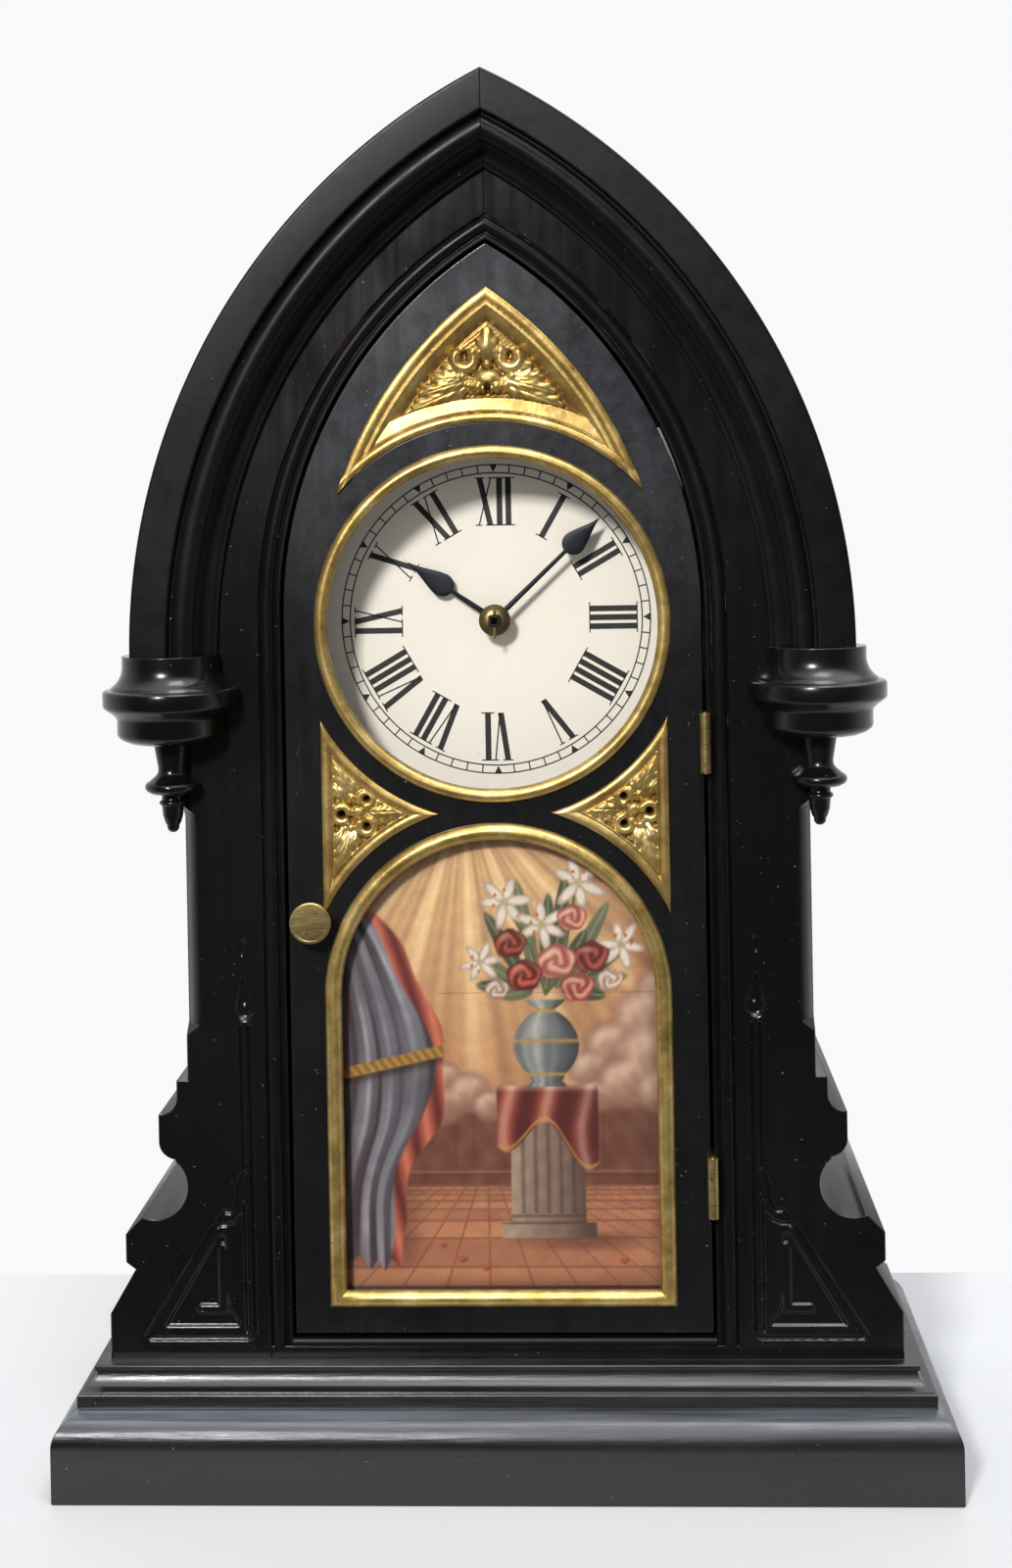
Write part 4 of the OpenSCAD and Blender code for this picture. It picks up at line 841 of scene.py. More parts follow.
def numeral(letters):
    """The strokes of a numeral that stands on its foot line, centred; a V and an X have
    one thick and one thin stroke. One line joins the ends of neighbouring upright
    strokes, and a slanting stroke has a serif of its own."""
    shapes, at = [], -sum(WIDTH[c] for c in letters) / 2
    foot, head = low_r, high_r
    uprights = []
    for c in letters:
        m = at + WIDTH[c] / 2
        if c == "I":
            shapes.append(stroke((m, foot), (m, head), thick))
            uprights.append(m)
        elif c == "V":
            shapes += [stroke((m + 0.5, foot), (m - 2.5, head), thick),
                       stroke((m + 0.9, foot), (m + 3.1, head), thin),
                       serif(m - 4.8, m - 0.2, head), serif(m + 1.7, m + 4.4, head)]
        else:
            shapes += [stroke((m + 2.3, foot), (m - 2.3, head), thick),
                       stroke((m - 2.7, foot), (m + 2.7, head), thin),
                       serif(m - 4.6, m - 0.1, head), serif(m + 1.3, m + 4.3, head),
                       serif(m + 0.2, m + 4.6, foot), serif(m - 4.3, m - 1.3, foot)]
        at += WIDTH[c]
    if uprights:
        reach = 2.9
        shapes += [serif(min(uprights) - reach, max(uprights) + reach, end)
                   for end in (foot, head)]
    return shapes


def ring_shape(r, wide, n=180):
    """A thin ring on the dial, as loops of four corners."""
    a = full_turn(n)[:, None]
    rr = r + np.array([[-wide / 2, wide / 2, wide / 2, -wide / 2]])
    y = dial_y + np.array([[-ink_up, -ink_up, ink_down, ink_down]])
    return stack(rr * np.cos(a), y, dial_z + rr * np.sin(a))


track = (0.945 * chapter, 0.998 * chapter)
print_parts = [(ring_shape(r, track_line), True) for r in track]
flat = []
for hour, letters in enumerate(("XII", "I", "II", "III", "IIII", "V", "VI", "VII", "VIII",
                                "IX", "X", "XI")):
    flat += [on_dial(shape, 30 * hour) for shape in numeral(letters)]
    flat.append(on_dial([(-1.75, track[1]), (1.75, track[1]), (0, track[0] + 0.3)], 30 * hour))
for minute in range(60):
    if minute % 5:
        flat.append(on_dial(stroke((0, track[0]), (0, track[1]), track_line), 6 * minute))
for shape in flat:
    front, rear = (stack(shape[:, 0], y, shape[:, 1])
                   for y in (dial_y - ink_up, dial_y + ink_down))
    print_parts.append((np.stack([front, rear]), False))
dial_print = skin("dial_print", print_parts, doubles=1e-5)

# %% [markdown]
# ## The picture
# The picture under the glass is a colour print on board. Its colours are worked out at
# each point of a grid from plain formulas, so no image file is needed. The design is a
# made-up still life: light rays over a wall, a tiled floor and a vase of flowers.

# %% Brushes: soft shapes laid over each other
def over(under, colour, cover):
    """A colour laid over another where cover is 1, and mixed by it between 0 and 1."""
    return under + (np.asarray(colour) - under) * np.clip(cover, 0, 1)[..., None]


def oval(x, h, cx, ch, rx, rh, turn=0.0):
    """Distance from an oval's middle as a share of its radius, turned by an angle."""
    u, v = turned_by(x - cx, h - ch, turn)
    return np.hypot(u / rx, v / rh)


def bristle(x, h, size=1.0):
    """Brush marks between -1 and 1: crossed sine waves that bend each other."""
    x, h = x / size, h / size
    return (np.sin(x * 1.9 + 2.1 * np.sin(h * 0.31)) * np.sin(h * 0.83 + 0.9 * np.sin(x * 0.47))
            + 0.5 * np.sin(x * 0.7 - h * 1.3 + 1.7 * np.sin(x * 0.23))) / 1.5


GLOW, PEACH = (0.84, 0.69, 0.49), (0.75, 0.55, 0.38)
ROSE, CLAY = (0.48, 0.32, 0.26), (0.38, 0.20, 0.16)
FLOOR, JOINT = (0.78, 0.54, 0.39), (0.54, 0.33, 0.25)
SLATE, PALE = (0.30, 0.27, 0.28), (0.61, 0.60, 0.61)
SALMON, WINE, CREAM = (0.70, 0.35, 0.26), (0.36, 0.15, 0.13), (0.88, 0.83, 0.76)


def rose(picture, x, h, cx, ch, size, light, dark):
    """A rose: an oval of one colour with spiral petals of another and a deep heart."""
    d = oval(x, h, cx, ch, size, size * 0.88, 15)
    a = np.arctan2(h - ch, x - cx)
    petal = 0.5 + 0.5 * np.sin(d * 9.5 - a * 2.0 + 0.9 * np.sin(3 * a + cx))
    picture = over(picture, dark, smooth((1.08 + 0.06 * np.sin(5 * a) - d) / 0.16))
    picture = over(picture, light, smooth((1.0 + 0.06 * np.sin(5 * a) - d) / 0.2) * petal)
    glint = oval(x, h, cx - size * 0.3, ch + size * 0.35, size * 0.5, size * 0.36, 30)
    picture = over(picture, CREAM, 0.4 * smooth(1 - glint))
    return over(picture, dark, 0.75 * smooth(1 - d / 0.3))


def lily(picture, x, h, cx, ch, size, lean):
    """A lily: six pointed petals from one throat, shaded to their middles."""
    for k in (0, 2, 4, 1, 3, 5):
        a = lean + k * 60 + 8 * math.sin(k * 2.4)
        far = size * (1.0 if k % 2 else 0.9)
        d = oval(x, h, *from_point(cx, ch, a, 0.5 * far), far * 0.54, size * 0.19, a)
        picture = over(picture, (0.70, 0.62, 0.55), smooth((1.12 - d) / 0.25))
        picture = over(picture, CREAM, smooth((0.92 - d) / 0.45))
    throat = oval(x, h, cx, ch, size * 0.2, size * 0.2)
    picture = over(picture, (0.72, 0.66, 0.42), smooth(1 - throat))
    for a in (lean + 20, lean + 75, lean + 130):
        anther = oval(x, h, *from_point(cx, ch, a, 0.42 * size), 0.8, 0.8)
        picture = over(picture, (0.75, 0.43, 0.16), smooth((1.2 - anther) / 0.4))
    return picture


def puff(picture, x, h, circles, light, shade):
    """A cloud: overlapping soft puffs, each lit from above left and shaded below right."""
    for cx, ch, r in circles:
        d = oval(x, h, cx, ch, r, r * 0.86)
        picture = over(picture, shade, 0.8 * smooth((1.25 - d) / 0.5))
    for cx, ch, r in circles:
        d = oval(x, h, cx, ch, r, r * 0.86)
        lit = smooth(0.45 + 0.55 * (h - ch) / r - 0.35 * (x - cx) / r + 0.1 * bristle(x, h, 2.2))
        picture = over(picture, light, 0.85 * smooth((1.02 - d) / 0.55) * lit)
        picture = over(picture, shade, 0.5 * smooth((1.0 - d) / 0.3) * smooth(0.3 - lit))
    return picture


# %% Back to front: sky, wall, floor
def room(x, h):
    """The glow and its rays above, a panelled wall, and tiles that run to one point. The
    rays are sine waves of the angle about the light; tile rows close up as 1 / distance."""
    far = np.hypot(x + 14, (h - 214) * 0.86)
    picture = np.zeros(np.broadcast(x, h).shape + (3,)) + GLOW
    picture = over(picture, PEACH, smooth((far - 30) / 95))
    picture = over(picture, ROSE, 0.9 * smooth((far - 95) / 110))
    a = np.arctan2(x + 14, 220 - h)
    ray = (np.sin(a * 19 + 1.1) + 0.7 * np.sin(a * 37 + 0.4) + 0.4 * np.sin(a * 83)) / 1.6
    picture = over(picture, (0.97, 0.86, 0.66),
                   0.6 * np.clip(ray, 0, 1) * smooth((180 - far) / 150))
    picture = over(picture, ROSE, 0.34 * np.clip(-ray, 0, 1))
    picture = over(picture, ROSE, 0.75 * smooth((np.hypot(x, np.maximum(h - 133, 0)) - 55) / 22)
                   * smooth((h - 60) / 60))
    wall = smooth((92 + 2 * bristle(x, h, 5) - h) / 14)
    stone = np.zeros_like(picture) + CLAY
    stone = over(stone, ROSE, 0.5 + 0.4 * bristle(x, h, 3.5))
    for level in (88, 84.5, 54):
        stone = over(stone, WINE, 0.5 * soft_line(h - level, 0.7))
        stone = over(stone, PEACH, 0.4 * soft_line(h - level - 1.2, 0.6))
    for post in (-58, -30, -2, 26, 54):
        groove = soft_line(np.abs(x - post) - 10, 0.7)
        stone = over(stone, WINE, 0.34 * groove * (h < 82) * (h > 57))
    picture = over(picture, stone, wall * 0.86)
    depth = np.maximum(64 - h, 0.5)
    tile = np.zeros_like(picture) + FLOOR
    lane, row = (x + 6) / depth * 3.1, 150 / depth
    check = np.sin(np.floor(lane) * 12.9 + np.floor(row) * 78.2) * 0.5
    tile = over(tile, CLAY, 0.18 + 0.22 * check)
    gap = np.minimum(np.abs(lane - np.round(lane)) * depth / 3.1,
                     np.abs(row - np.round(row)) * depth * depth / 150)
    tile = over(tile, JOINT, 0.85 * smooth((0.75 - gap) / 0.6))
    tile = over(tile, PEACH, 0.35 * smooth(bristle(x, h, 4)) * smooth((30 - np.abs(x + 10)) / 40))
    return over(picture, tile, smooth((50 - h) / 1.2))


# %% A curtain, a pedestal and a vase of flowers
def curtain(picture, x, h):
    """A looped curtain on the left: its folds fan out from the tie, above and below it,
    as waves across lines from the tie, with a dark valley and a thin light crest each."""
    edge_x = -42 + 19 * np.cos((h - 98) / 36) * smooth((h - 30) / 50) - 9 * smooth((h - 150) / 40)
    share = (x + 76) / (edge_x + 78)
    fan = share * 30 + 1.6 * np.sin(h * 0.035 + 1) + 0.9 * np.sin(share * 9 + h * 0.02)
    foot = 17 + 2.2 * np.cos(fan) + 3 * np.cos(share * 5)
    inside = smooth((edge_x + 1.2 * np.cos(h * 0.16) - x) / 1.6) * smooth((h - foot) / 1.4)
    deep = 0.55 + 0.45 * np.sin(share * 11 + 0.05 * h + 1.3 * np.sin(h * 0.04))
    fold = 0.5 + (0.18 + 0.32 * deep) * np.sin(fan + 0.5 * np.sin(2 * fan + h * 0.03))
    cloth = np.zeros_like(picture) + SLATE
    cloth = over(cloth, (0.44, 0.43, 0.46), smooth(fold * 1.5))
    cloth = over(cloth, PALE, 0.8 * smooth(fold * 1.6 - 0.6) * (0.85 + 0.2 * bristle(x, h, 2.5)))
    cloth = over(cloth, (0.74, 0.72, 0.71), 0.5 * fold ** 9)
    cloth = over(cloth, (0.23, 0.18, 0.18), 0.7 * (1 - fold) ** 5)
    cross = np.sin(h * 0.11 + share * 6) * np.sin(h * 0.043 - share * 4)
    cloth = over(cloth, (0.34, 0.30, 0.31), 0.30 * smooth(cross * 1.4))
    cloth = over(cloth, (0.36, 0.22, 0.18), 0.5 * smooth((-54 - x) / 22))
    lining = smooth((x - edge_x + 8 + 2.5 * np.cos(h * 0.09)) / 1.6)
    pleat = 0.5 + 0.5 * np.sin(h * 0.13 + x * 0.55 + 1.4 * np.sin(h * 0.04))
    red = over(np.zeros_like(picture) + SALMON, WINE, 0.85 * pleat ** 2)
    red = over(red, (0.85, 0.53, 0.42), 0.6 * (1 - pleat) ** 6)
    cloth = over(cloth, red, lining)
    tie = h - 100 - 0.22 * (x + 60)
    cloth = over(cloth, (0.20, 0.13, 0.10), 0.6 * soft_line(tie + 3.4, 2.2))
    cloth = over(cloth, (0.72, 0.55, 0.25), smooth((2.9 - np.abs(tie)) / 0.9))
    cloth = over(cloth, (0.42, 0.29, 0.12), 0.6 * smooth((2.9 - np.abs(tie)) / 0.9)
                 * (0.5 + 0.5 * np.sin(x * 1.7 + tie * 1.1)))
    picture = over(picture, (0.33, 0.20, 0.16), 0.45 * smooth((edge_x + 12 - x) / 14)
                   * smooth((h - 8) / 14) * smooth((70 - h) / 40))
    return over(picture, cloth, inside)


def pedestal(picture, x, h):
    """A square pillar with a cap and a foot, with a cloth over its top."""
    cx = 20
    half = np.where(h < 33, 21 + 0 * x, np.where((h > 82) & (h < 90), 20.5, 16.5))
    body = smooth((half - np.abs(x - cx)) / 0.9) * smooth((90 - h) / 0.8) * smooth((h - 26) / 0.8)
    stone = np.zeros_like(picture) + (0.60, 0.50, 0.43)
    stone = over(stone, (0.82, 0.73, 0.62), smooth((cx + 4 - x) / 26))
    stone = over(stone, (0.33, 0.24, 0.21), smooth((x - cx - 3) / 16) * 0.85)
    stone = over(stone, (0.40, 0.30, 0.26), 0.3 + 0.1 * bristle(x, h, 2.2))
    groove = 0.5 + 0.5 * np.cos((x - cx) * 1.15)
    stone = over(stone, (0.30, 0.22, 0.19), 0.5 * groove ** 3 * (h > 37) * (np.abs(x - cx) < 15))
    for level in (33, 36, 80, 82.5):
        stone = over(stone, (0.30, 0.21, 0.18), 0.6 * soft_line(h - level, 0.6))
    shade = smooth(1.15 - oval(x, h, cx + 16, 25, 34, 5.5))
    picture = over(picture, (0.42, 0.25, 0.20), 0.65 * shade)
    picture = over(picture, stone, body)
    hem = 66 + 7 * np.cos((x - cx) / 5.4) + 5 * np.cos((x - cx) / 11.5 + 1)
    drape = smooth((22.5 - np.abs(x - cx)) / 1.2) * smooth((h - hem) / 1.1) * smooth((93 - h) / 1.2)
    pleat = 0.5 + 0.5 * np.cos((x - cx) / 2.7 + 0.9 * np.sin(h * 0.11))
    cloth = np.zeros_like(picture) + WINE
    cloth = over(cloth, SALMON, pleat ** 1.4 * smooth(0.85 - (x - cx) / 40))
    cloth = over(cloth, CREAM, 0.35 * pleat ** 6 + 0.4 * smooth((h - 89) / 3))
    cloth = over(cloth, (0.76, 0.60, 0.30), 0.8 * soft_line(h - hem - 2.2, 0.8))
    return over(picture, cloth, drape)


def vase(picture, x, h):
    """A fluted stone vase: its half width is a sum of smooth steps over its height."""
    cx, low, high = 20, 92, 130
    t = np.clip((h - low) / (high - low), 0, 1)
    half = 3.6 + 5.2 * (1 - smooth(t / 0.16)) + 5.4 * smooth((t - 0.84) / 0.16) \
        + 11 * np.maximum(0, 1 - ((t - 0.47) / 0.40) ** 2) ** 0.75
    inside = smooth((half - np.abs(x - cx)) / 0.9) * (h > low) * smooth((high - h) / 0.8)
    u = np.clip((x - cx) / np.maximum(half, 0.1), -1, 1)
    flute = 0.5 + 0.5 * np.cos(np.arcsin(u) * 13)
    glaze = np.zeros_like(picture) + (0.47, 0.48, 0.47)
    glaze = over(glaze, (0.84, 0.83, 0.77), smooth(0.62 - np.abs(u + 0.38)) * 0.95)
    glaze = over(glaze, (0.22, 0.21, 0.22), 0.8 * smooth((u - 0.2) / 0.8))
    glaze = over(glaze, (0.30, 0.30, 0.31), 0.32 * flute * smooth((0.62 - t) / 0.1))
    for level in (0.14, 0.52, 0.86):
        glaze = over(glaze, (0.74, 0.58, 0.28), 0.85 * soft_line(t - level, 0.022))
    return over(picture, glaze, inside)


def leaf_stroke(picture, x, h, a, b, wide, colour):
    """A painted leaf: an oval from a to b with a pale middle line."""
    turn = math.degrees(math.atan2(b[1] - a[1], b[0] - a[0]))
    d = oval(x, h, (a[0] + b[0]) / 2, (a[1] + b[1]) / 2, math.dist(a, b) / 2, wide, turn)
    picture = over(picture, colour, smooth((1.06 - d) / 0.2))
    mid = near(x, h, [a, b])
    return over(picture, (0.60, 0.62, 0.46), 0.6 * smooth((0.7 - mid) / 0.5) * (d < 0.9))


def bouquet(picture, x, h):
    """Leaves first, then stems, lilies and roses from the back to the front."""
    for b in ((-12, 150), (-6, 168), (8, 182), (30, 186), (48, 172), (58, 156), (56, 140),
              (-10, 136), (0, 131), (46, 131), (22, 176), (38, 160)):
        picture = leaf_stroke(picture, x, h, (20 + 0.25 * (b[0] - 20), 134), b, 3.4,
                              (0.30, 0.33, 0.25) if b[0] % 4 else (0.43, 0.45, 0.33))
    for b in ((4, 170), (34, 178), (52, 152)):
        picture = over(picture, (0.36, 0.38, 0.26),
                       smooth((0.9 - near(x, h, [(20, 132), ((20 + b[0]) / 2 + 2, 152), b])) / 0.5))
    for cx, ch, size, lean in ((3, 172, 12, 70), (35, 180, 12.5, 40), (53, 153, 11, -10),
                               (-8, 146, 9.5, 130), (19, 162, 11.5, 95)):
        picture = lily(picture, x, h, cx, ch, size, lean)
    for cx, ch, size, light, dark in (
            (32, 165, 6.4, (0.90, 0.66, 0.55), (0.60, 0.32, 0.27)),
            (5, 154, 7.0, SALMON, WINE), (40, 148, 7.6, SALMON, WINE),
            (25, 146, 8.6, (0.90, 0.68, 0.58), (0.62, 0.34, 0.29)),
            (11, 140, 7.6, (0.80, 0.38, 0.30), (0.36, 0.13, 0.12)),
            (34, 135, 7.2, (0.88, 0.60, 0.48), (0.55, 0.26, 0.22)),
            (48, 138, 5.6, CREAM, (0.66, 0.50, 0.42)), (-1, 134, 5.2, CREAM, (0.64, 0.47, 0.40))):
        picture = rose(picture, x, h, cx, ch, size, light, dark)
    return picture


# %% Paint the panel
def paint(x, z):
    """Colours of the picture at each place, back to front, turned from display values to
    light values by the usual power curve."""
    h = z - picture_low
    picture = room(x, h)
    picture = puff(picture, x, h, ((70, 134, 11), (62, 122, 14), (48, 110, 12), (66, 106, 16),
                                   (38, 100, 9), (54, 94, 13), (70, 90, 12), (40, 88, 8),
                                   (-24, 96, 8), (-14, 90, 10), (-26, 84, 10), (-5, 84, 8)),
                   (0.88, 0.77, 0.66), (0.60, 0.44, 0.37))
    picture = pedestal(picture, x, h)
    picture = vase(picture, x, h)
    picture = bouquet(picture, x, h)
    picture = curtain(picture, x, h)
    for cx, ch, size in ((-18, 18, 2.6), (-8, 14, 2.0), (52, 17, 2.4), (-26, 24, 1.8)):
        shadow = oval(x, h, cx + 0.6, ch - 0.7, size, size * 0.55, 20)
        picture = over(picture, WINE, 0.5 * smooth((1 - shadow) / 0.4))
        petal = oval(x, h, cx, ch, size, size * 0.5, 20)
        picture = over(picture, SALMON, smooth((1 - petal) / 0.4))
    picture = picture * (1 + 0.018 * bristle(x, h, 0.8) + 0.03 * bristle(h, x, 3.1))[..., None]
    # Painted shade: the picture darkens along its edges, where the gilt bead shades it.
    bead_shade_distance = np.minimum(picture_hw - 4 - np.abs(x), h - 4)
    picture = over(picture, (0.25, 0.15, 0.11), 0.30 * smooth((9 - bead_shade_distance) / 9))
    picture = np.clip(picture, 0.02, 1)
    return ((picture + 0.055) / 1.055) ** 2.4


panel_y = edge("picture_panel", 1, 0)
panel_back = edge("picture_panel", 1, 1)
panel_hw = edge("picture_panel", 0, 1)
panel_low = edge("picture_panel", 2, 0)
rows_low, rows_top, columns = 230, 121, 261
z = np.concatenate([np.linspace(panel_low, picture_top, rows_low), picture_top
                    + panel_hw * np.sin(np.linspace(0, np.pi / 2, rows_top))[1:-1]])
w = np.where(z < picture_top, panel_hw,
             np.sqrt(np.maximum(panel_hw ** 2 - np.maximum(z - picture_top, 0) ** 2, 0)))
u = np.linspace(-1, 1, columns)[None, :]
front = stack(w[:, None] * u, panel_y, z[:, None])
rear = stack(w[:, None] * np.array([[1, -1]]), panel_back, z[:, None])
picture = skin("painted_picture", [(np.concatenate([front, rear], 1), False)],
               "door")
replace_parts(picture, "picture_panel")
co = np.empty(len(picture.data.vertices) * 3)
picture.data.vertices.foreach_get("co", co)
co = co.reshape(-1, 3) / MM
colours = np.ones((len(co), 4))
colours[:, :3] = paint(co[:, 0], co[:, 2])
colours[co[:, 1] > panel_y + 0.5, :3] = (0.105, 0.060, 0.034)
layer = picture.data.attributes.new("painting", "FLOAT_COLOR", "POINT")
layer.data.foreach_set("color", colours.ravel())

# %% [markdown]
# ## Finishes
# Every surface gets its own finish from shader nodes: the lacquer is brown-black with worn
# edges, the gold has painted shade in its hollows, brass has brush lines. A small helper keeps the
# node trees readable.

# %% Node helper
class Tree:
    """The nodes of a material or of the world: add() makes a node, sets its options and
    its inputs; an input that is another node's output is linked."""

    def __init__(self, name, owner=None, end="OutputMaterial"):
        self.owner = owner or bpy.data.materials.new(name)
        self.owner.use_nodes = True
        self.nodes = self.owner.node_tree.nodes
        self.links = self.owner.node_tree.links
        self.nodes.clear()
        self.out = self.nodes.new("ShaderNode" + end)

    def add(self, kind, inputs=None, out=0, **options):
        node = self.nodes.new("ShaderNode" + kind)
        for key, value in options.items():
            setattr(node, key, value)
        for key, value in (inputs or {}).items():
            self.set(node, key, value)
        return node.outputs[out]

    def set(self, node, key, value):
        socket = node.inputs[key]
        if isinstance(value, bpy.types.NodeSocket):
            self.links.new(value, socket)
        else:
            socket.default_value = value

    def mix(self, factor, a, b, mode="MIX"):
        node = self.nodes.new("ShaderNodeMix")
        node.data_type, node.blend_type = "RGBA", mode
        for key, value in ((0, factor), (6, a), (7, b)):
            self.set(node, key, value)
        return node.outputs[2]

    def ramp(self, value, *stops):
        node = self.nodes.new("ShaderNodeValToRGB")
        self.set(node, 0, value)
        elements = node.color_ramp.elements
        while len(elements) < len(stops):
            elements.new(0.5)
        for element, (at, colour) in zip(elements, stops):
            element.position = at
            element.color = (*colour, 1) if isinstance(colour, tuple) else (colour,) * 3 + (1,)
        return node.outputs[0]

    def math(self, how, a, b=0.5, c=0.0):
        return self.add("Math", {0: a, 1: b, 2: c}, operation=how)

    def place(self, axis, space="Object"):
        return self.add("SeparateXYZ", {0: self.add("TexCoord", out=space)}, out=axis)

    def rise(self, value, low, high, dark=0.0, bright=1.0):
        return self.add("MapRange", {0: value, 1: low, 2: high, 3: dark, 4: bright},
                        interpolation_type="SMOOTHSTEP")

    def noise(self, scale, detail=3, rough=0.5, stretch=(1, 1, 1)):
        place = self.add("Mapping", {0: self.add("TexCoord", out="Object"), 3: stretch})
        return self.add("TexNoise", {"Vector": place, "Scale": scale, "Detail": detail,
                                     "Roughness": rough})

    def bump(self, height, strength, distance, **more):
        return self.add("Bump", {"Strength": strength, "Distance": distance,
                                 "Height": height, **more})

    def end_with(self, shader):
        self.links.new(shader, self.out.inputs[0])
        return self.owner

    def finish(self, **inputs):
        names = {"color": "Base Color", "rough": "Roughness", "metal": "Metallic",
                 "bump": "Normal", "shine": "Specular IOR Level"}
        return self.end_with(self.add("BsdfPrincipled",
                                      {names[key]: value for key, value in inputs.items()}))


# %% [markdown]
# ## Ebonised lacquer
# The case is pearwood stained black under many coats of varnish. Where hands and dusters
# rub, on edges and crests, brown shows through. A Bevel node finds the edges: its rounded
# normal leans away from the true one there. The same node softens the edges in the light.

# %% Lacquer
def lacquer(name, dark, light, smoothest, roughest, shine, top_haze=0.0, streak=(1, 1, 0.06),
            comb=0.07, polish=0.0):
    """Black with a brown cast, cloudy gloss, fine dust and worn edges. One argument sets a bluish
    haze in patches that grows stronger higher up, streak stretches the rubbing marks along the
    moulding, and comb is how deep those marks are. Polish is the added shine of the plinth's round
    edge, which is found by its height; there the colour also takes a painted bluish sheen in
    streaks."""
    t = Tree(name)
    if polish:
        # The band finds the plinth's round by its height, in fine streaks. It adds real shine
        # there, and below it gives the colour a painted sheen.
        height = t.place("Z")
        band = t.ramp(t.math("MULTIPLY", height, 10), (0.25, 0.0), (0.315, 0.22),
                      (0.338, 1.0), (0.347, 1.0), (0.36, 0.0))
        line_up = t.ramp(t.noise(120, 6, 0.72, streak), (0.38, 0.35), (0.62, 1.0))
        band = t.math("MULTIPLY", band, line_up)
        plain = t.ramp(t.math("MULTIPLY", height, 10), (0.225, shine), (0.245, 0.55 * shine),
                       (0.33, 0.55 * shine), (0.36, shine))
        shine = t.math("MULTIPLY_ADD", band, polish, plain)
    soft = t.add("Bevel", {"Radius": 0.0008}, samples=6)
    wide = t.add("Bevel", {"Radius": 0.0015}, samples=6)
    true = t.add("NewGeometry", out=1)
    lean = t.math("SUBTRACT", 1.0, t.add("VectorMath", {0: wide, 1: true}, out=1,
                                         operation="DOT_PRODUCT"))
    patch = t.ramp(t.noise(24, 6, 0.68), (0.56, 0.0), (0.68, 1.0))
    worn = t.ramp(t.math("MULTIPLY", lean, patch), (0.05, 0.0), (0.24, 1.0))
    cloud = t.ramp(t.noise(7, 4, 0.55), (0.3, dark), (0.75, light))
    # Painted sheen: on the plinth's round the colour turns bluish grey in streaks, on top of the
    # real shine.
    if polish:
        cloud = t.mix(band, cloud, (0.100, 0.105, 0.130, 1))
    if top_haze:
        # A lighter bluish haze in patches, growing stronger towards the top.
        up = t.rise(t.place("Z"), 0.33, 0.47, 0.06, top_haze)
        haze = t.ramp(t.noise(95, 9, 0.78), (0.36, 0.2), (0.68, 1.0))
        cloud = t.mix(t.math("MULTIPLY", haze, up), cloud, (0.050, 0.052, 0.060, 1))
    pit = t.ramp(t.noise(640, 2, 0.5), (0.225, 1.0), (0.245, 0.0))
    cloud = t.mix(t.math("MULTIPLY", pit, 0.6), cloud, (0.20, 0.18, 0.16, 1))
    colour = t.mix(worn, cloud, (0.075, 0.042, 0.022, 1))
    rub = t.math("MULTIPLY_ADD", t.noise(150, 4, 0.6, streak), 0.4,
                 t.math("MULTIPLY", t.noise(14, 5, 0.6), 0.6))
    gloss = t.ramp(rub, (0.35, smoothest), (0.65, roughest))
    if polish:
        gloss = t.math("MULTIPLY_ADD", band, 0.12, gloss)
    grain = t.noise(190 if polish else 70, 6 if polish else 4, 0.6, streak)
    bump = t.bump(grain, comb, 0.0005, Normal=soft)
    bump = t.bump(t.noise(900, 2, 0.5), 0.06, 0.00006, Normal=bump)
    return t.finish(color=colour, rough=gloss, bump=bump, shine=shine)


BLACKS = (0.0026, 0.0025, 0.0025), (0.0050, 0.0046, 0.0044)
LACQUER = lacquer("ebonised_lacquer", *BLACKS, 0.13, 0.27, 0.37)
SOFT_LACQUER = lacquer("soft_moulding_lacquer", *BLACKS, 0.26, 0.44, 0.15, streak=(1, 1, 1))
DOOR_LACQUER = lacquer("hazy_door_lacquer", (0.0028, 0.0028, 0.0030), (0.0050, 0.0049, 0.0050),
                       0.18, 0.32, 0.42, top_haze=0.62)
RUBBED = lacquer("rubbed_base_lacquer", (0.004, 0.004, 0.0045), (0.007, 0.007, 0.0075),
                 0.20, 0.42, 0.58, streak=(0.05, 1, 1), comb=0.75, polish=1.0)

# %% [markdown]
# ## Gold leaf
# Gold leaf lies over red-brown clay and white gesso. It is bright on the crests. In the hollows,
# which an attribute of the relief's depth marks, its colour is darkened to brown: painted shade,
# with the brown of glaze.

# %% Gold
def gold(name, hollow):
    """Rubbed leaf: yellow metal, brown specks, and painted shade with brown glaze in the hollows
    where there is a relief.
    """
    t = Tree(name)
    rub = t.ramp(t.noise(60, 8, 0.7), (0.34, (0.30, 0.185, 0.048)), (0.5, (0.47, 0.32, 0.10)),
                 (0.68, (0.68, 0.51, 0.21)))
    smear = t.ramp(t.noise(22, 5, 0.6), (0.58, 0.0), (0.74, 0.7))
    rub = t.mix(smear, rub, (0.26, 0.155, 0.045, 1))
    speck = t.ramp(t.noise(330, 4, 0.7), (0.29, 1.0), (0.34, 0.0))
    colour = t.mix(speck, rub, (0.12, 0.065, 0.025, 1))
    if hollow:
        # Painted shade with brown glaze: the deeper a point lies in the relief, the darker and
        # browner the gold.
        deep = t.ramp(t.add("Attribute", out=2, attribute_name="hollow"), (0.42, 0.0),
                      (0.86, 1.0))
        colour = t.mix(t.math("MULTIPLY", deep, 0.85), colour, (0.17, 0.088, 0.022, 1))
    rough = t.ramp(t.noise(80, 4, 0.6), (0.3, 0.27), (0.75, 0.5))
    bump = t.bump(t.noise(130, 6, 0.65), 0.35, 0.0006)
    return t.finish(color=colour, rough=rough, metal=0.82, bump=bump)


GOLD, CARVED_GOLD = gold("gold_leaf", False), gold("carved_gold_leaf", True)

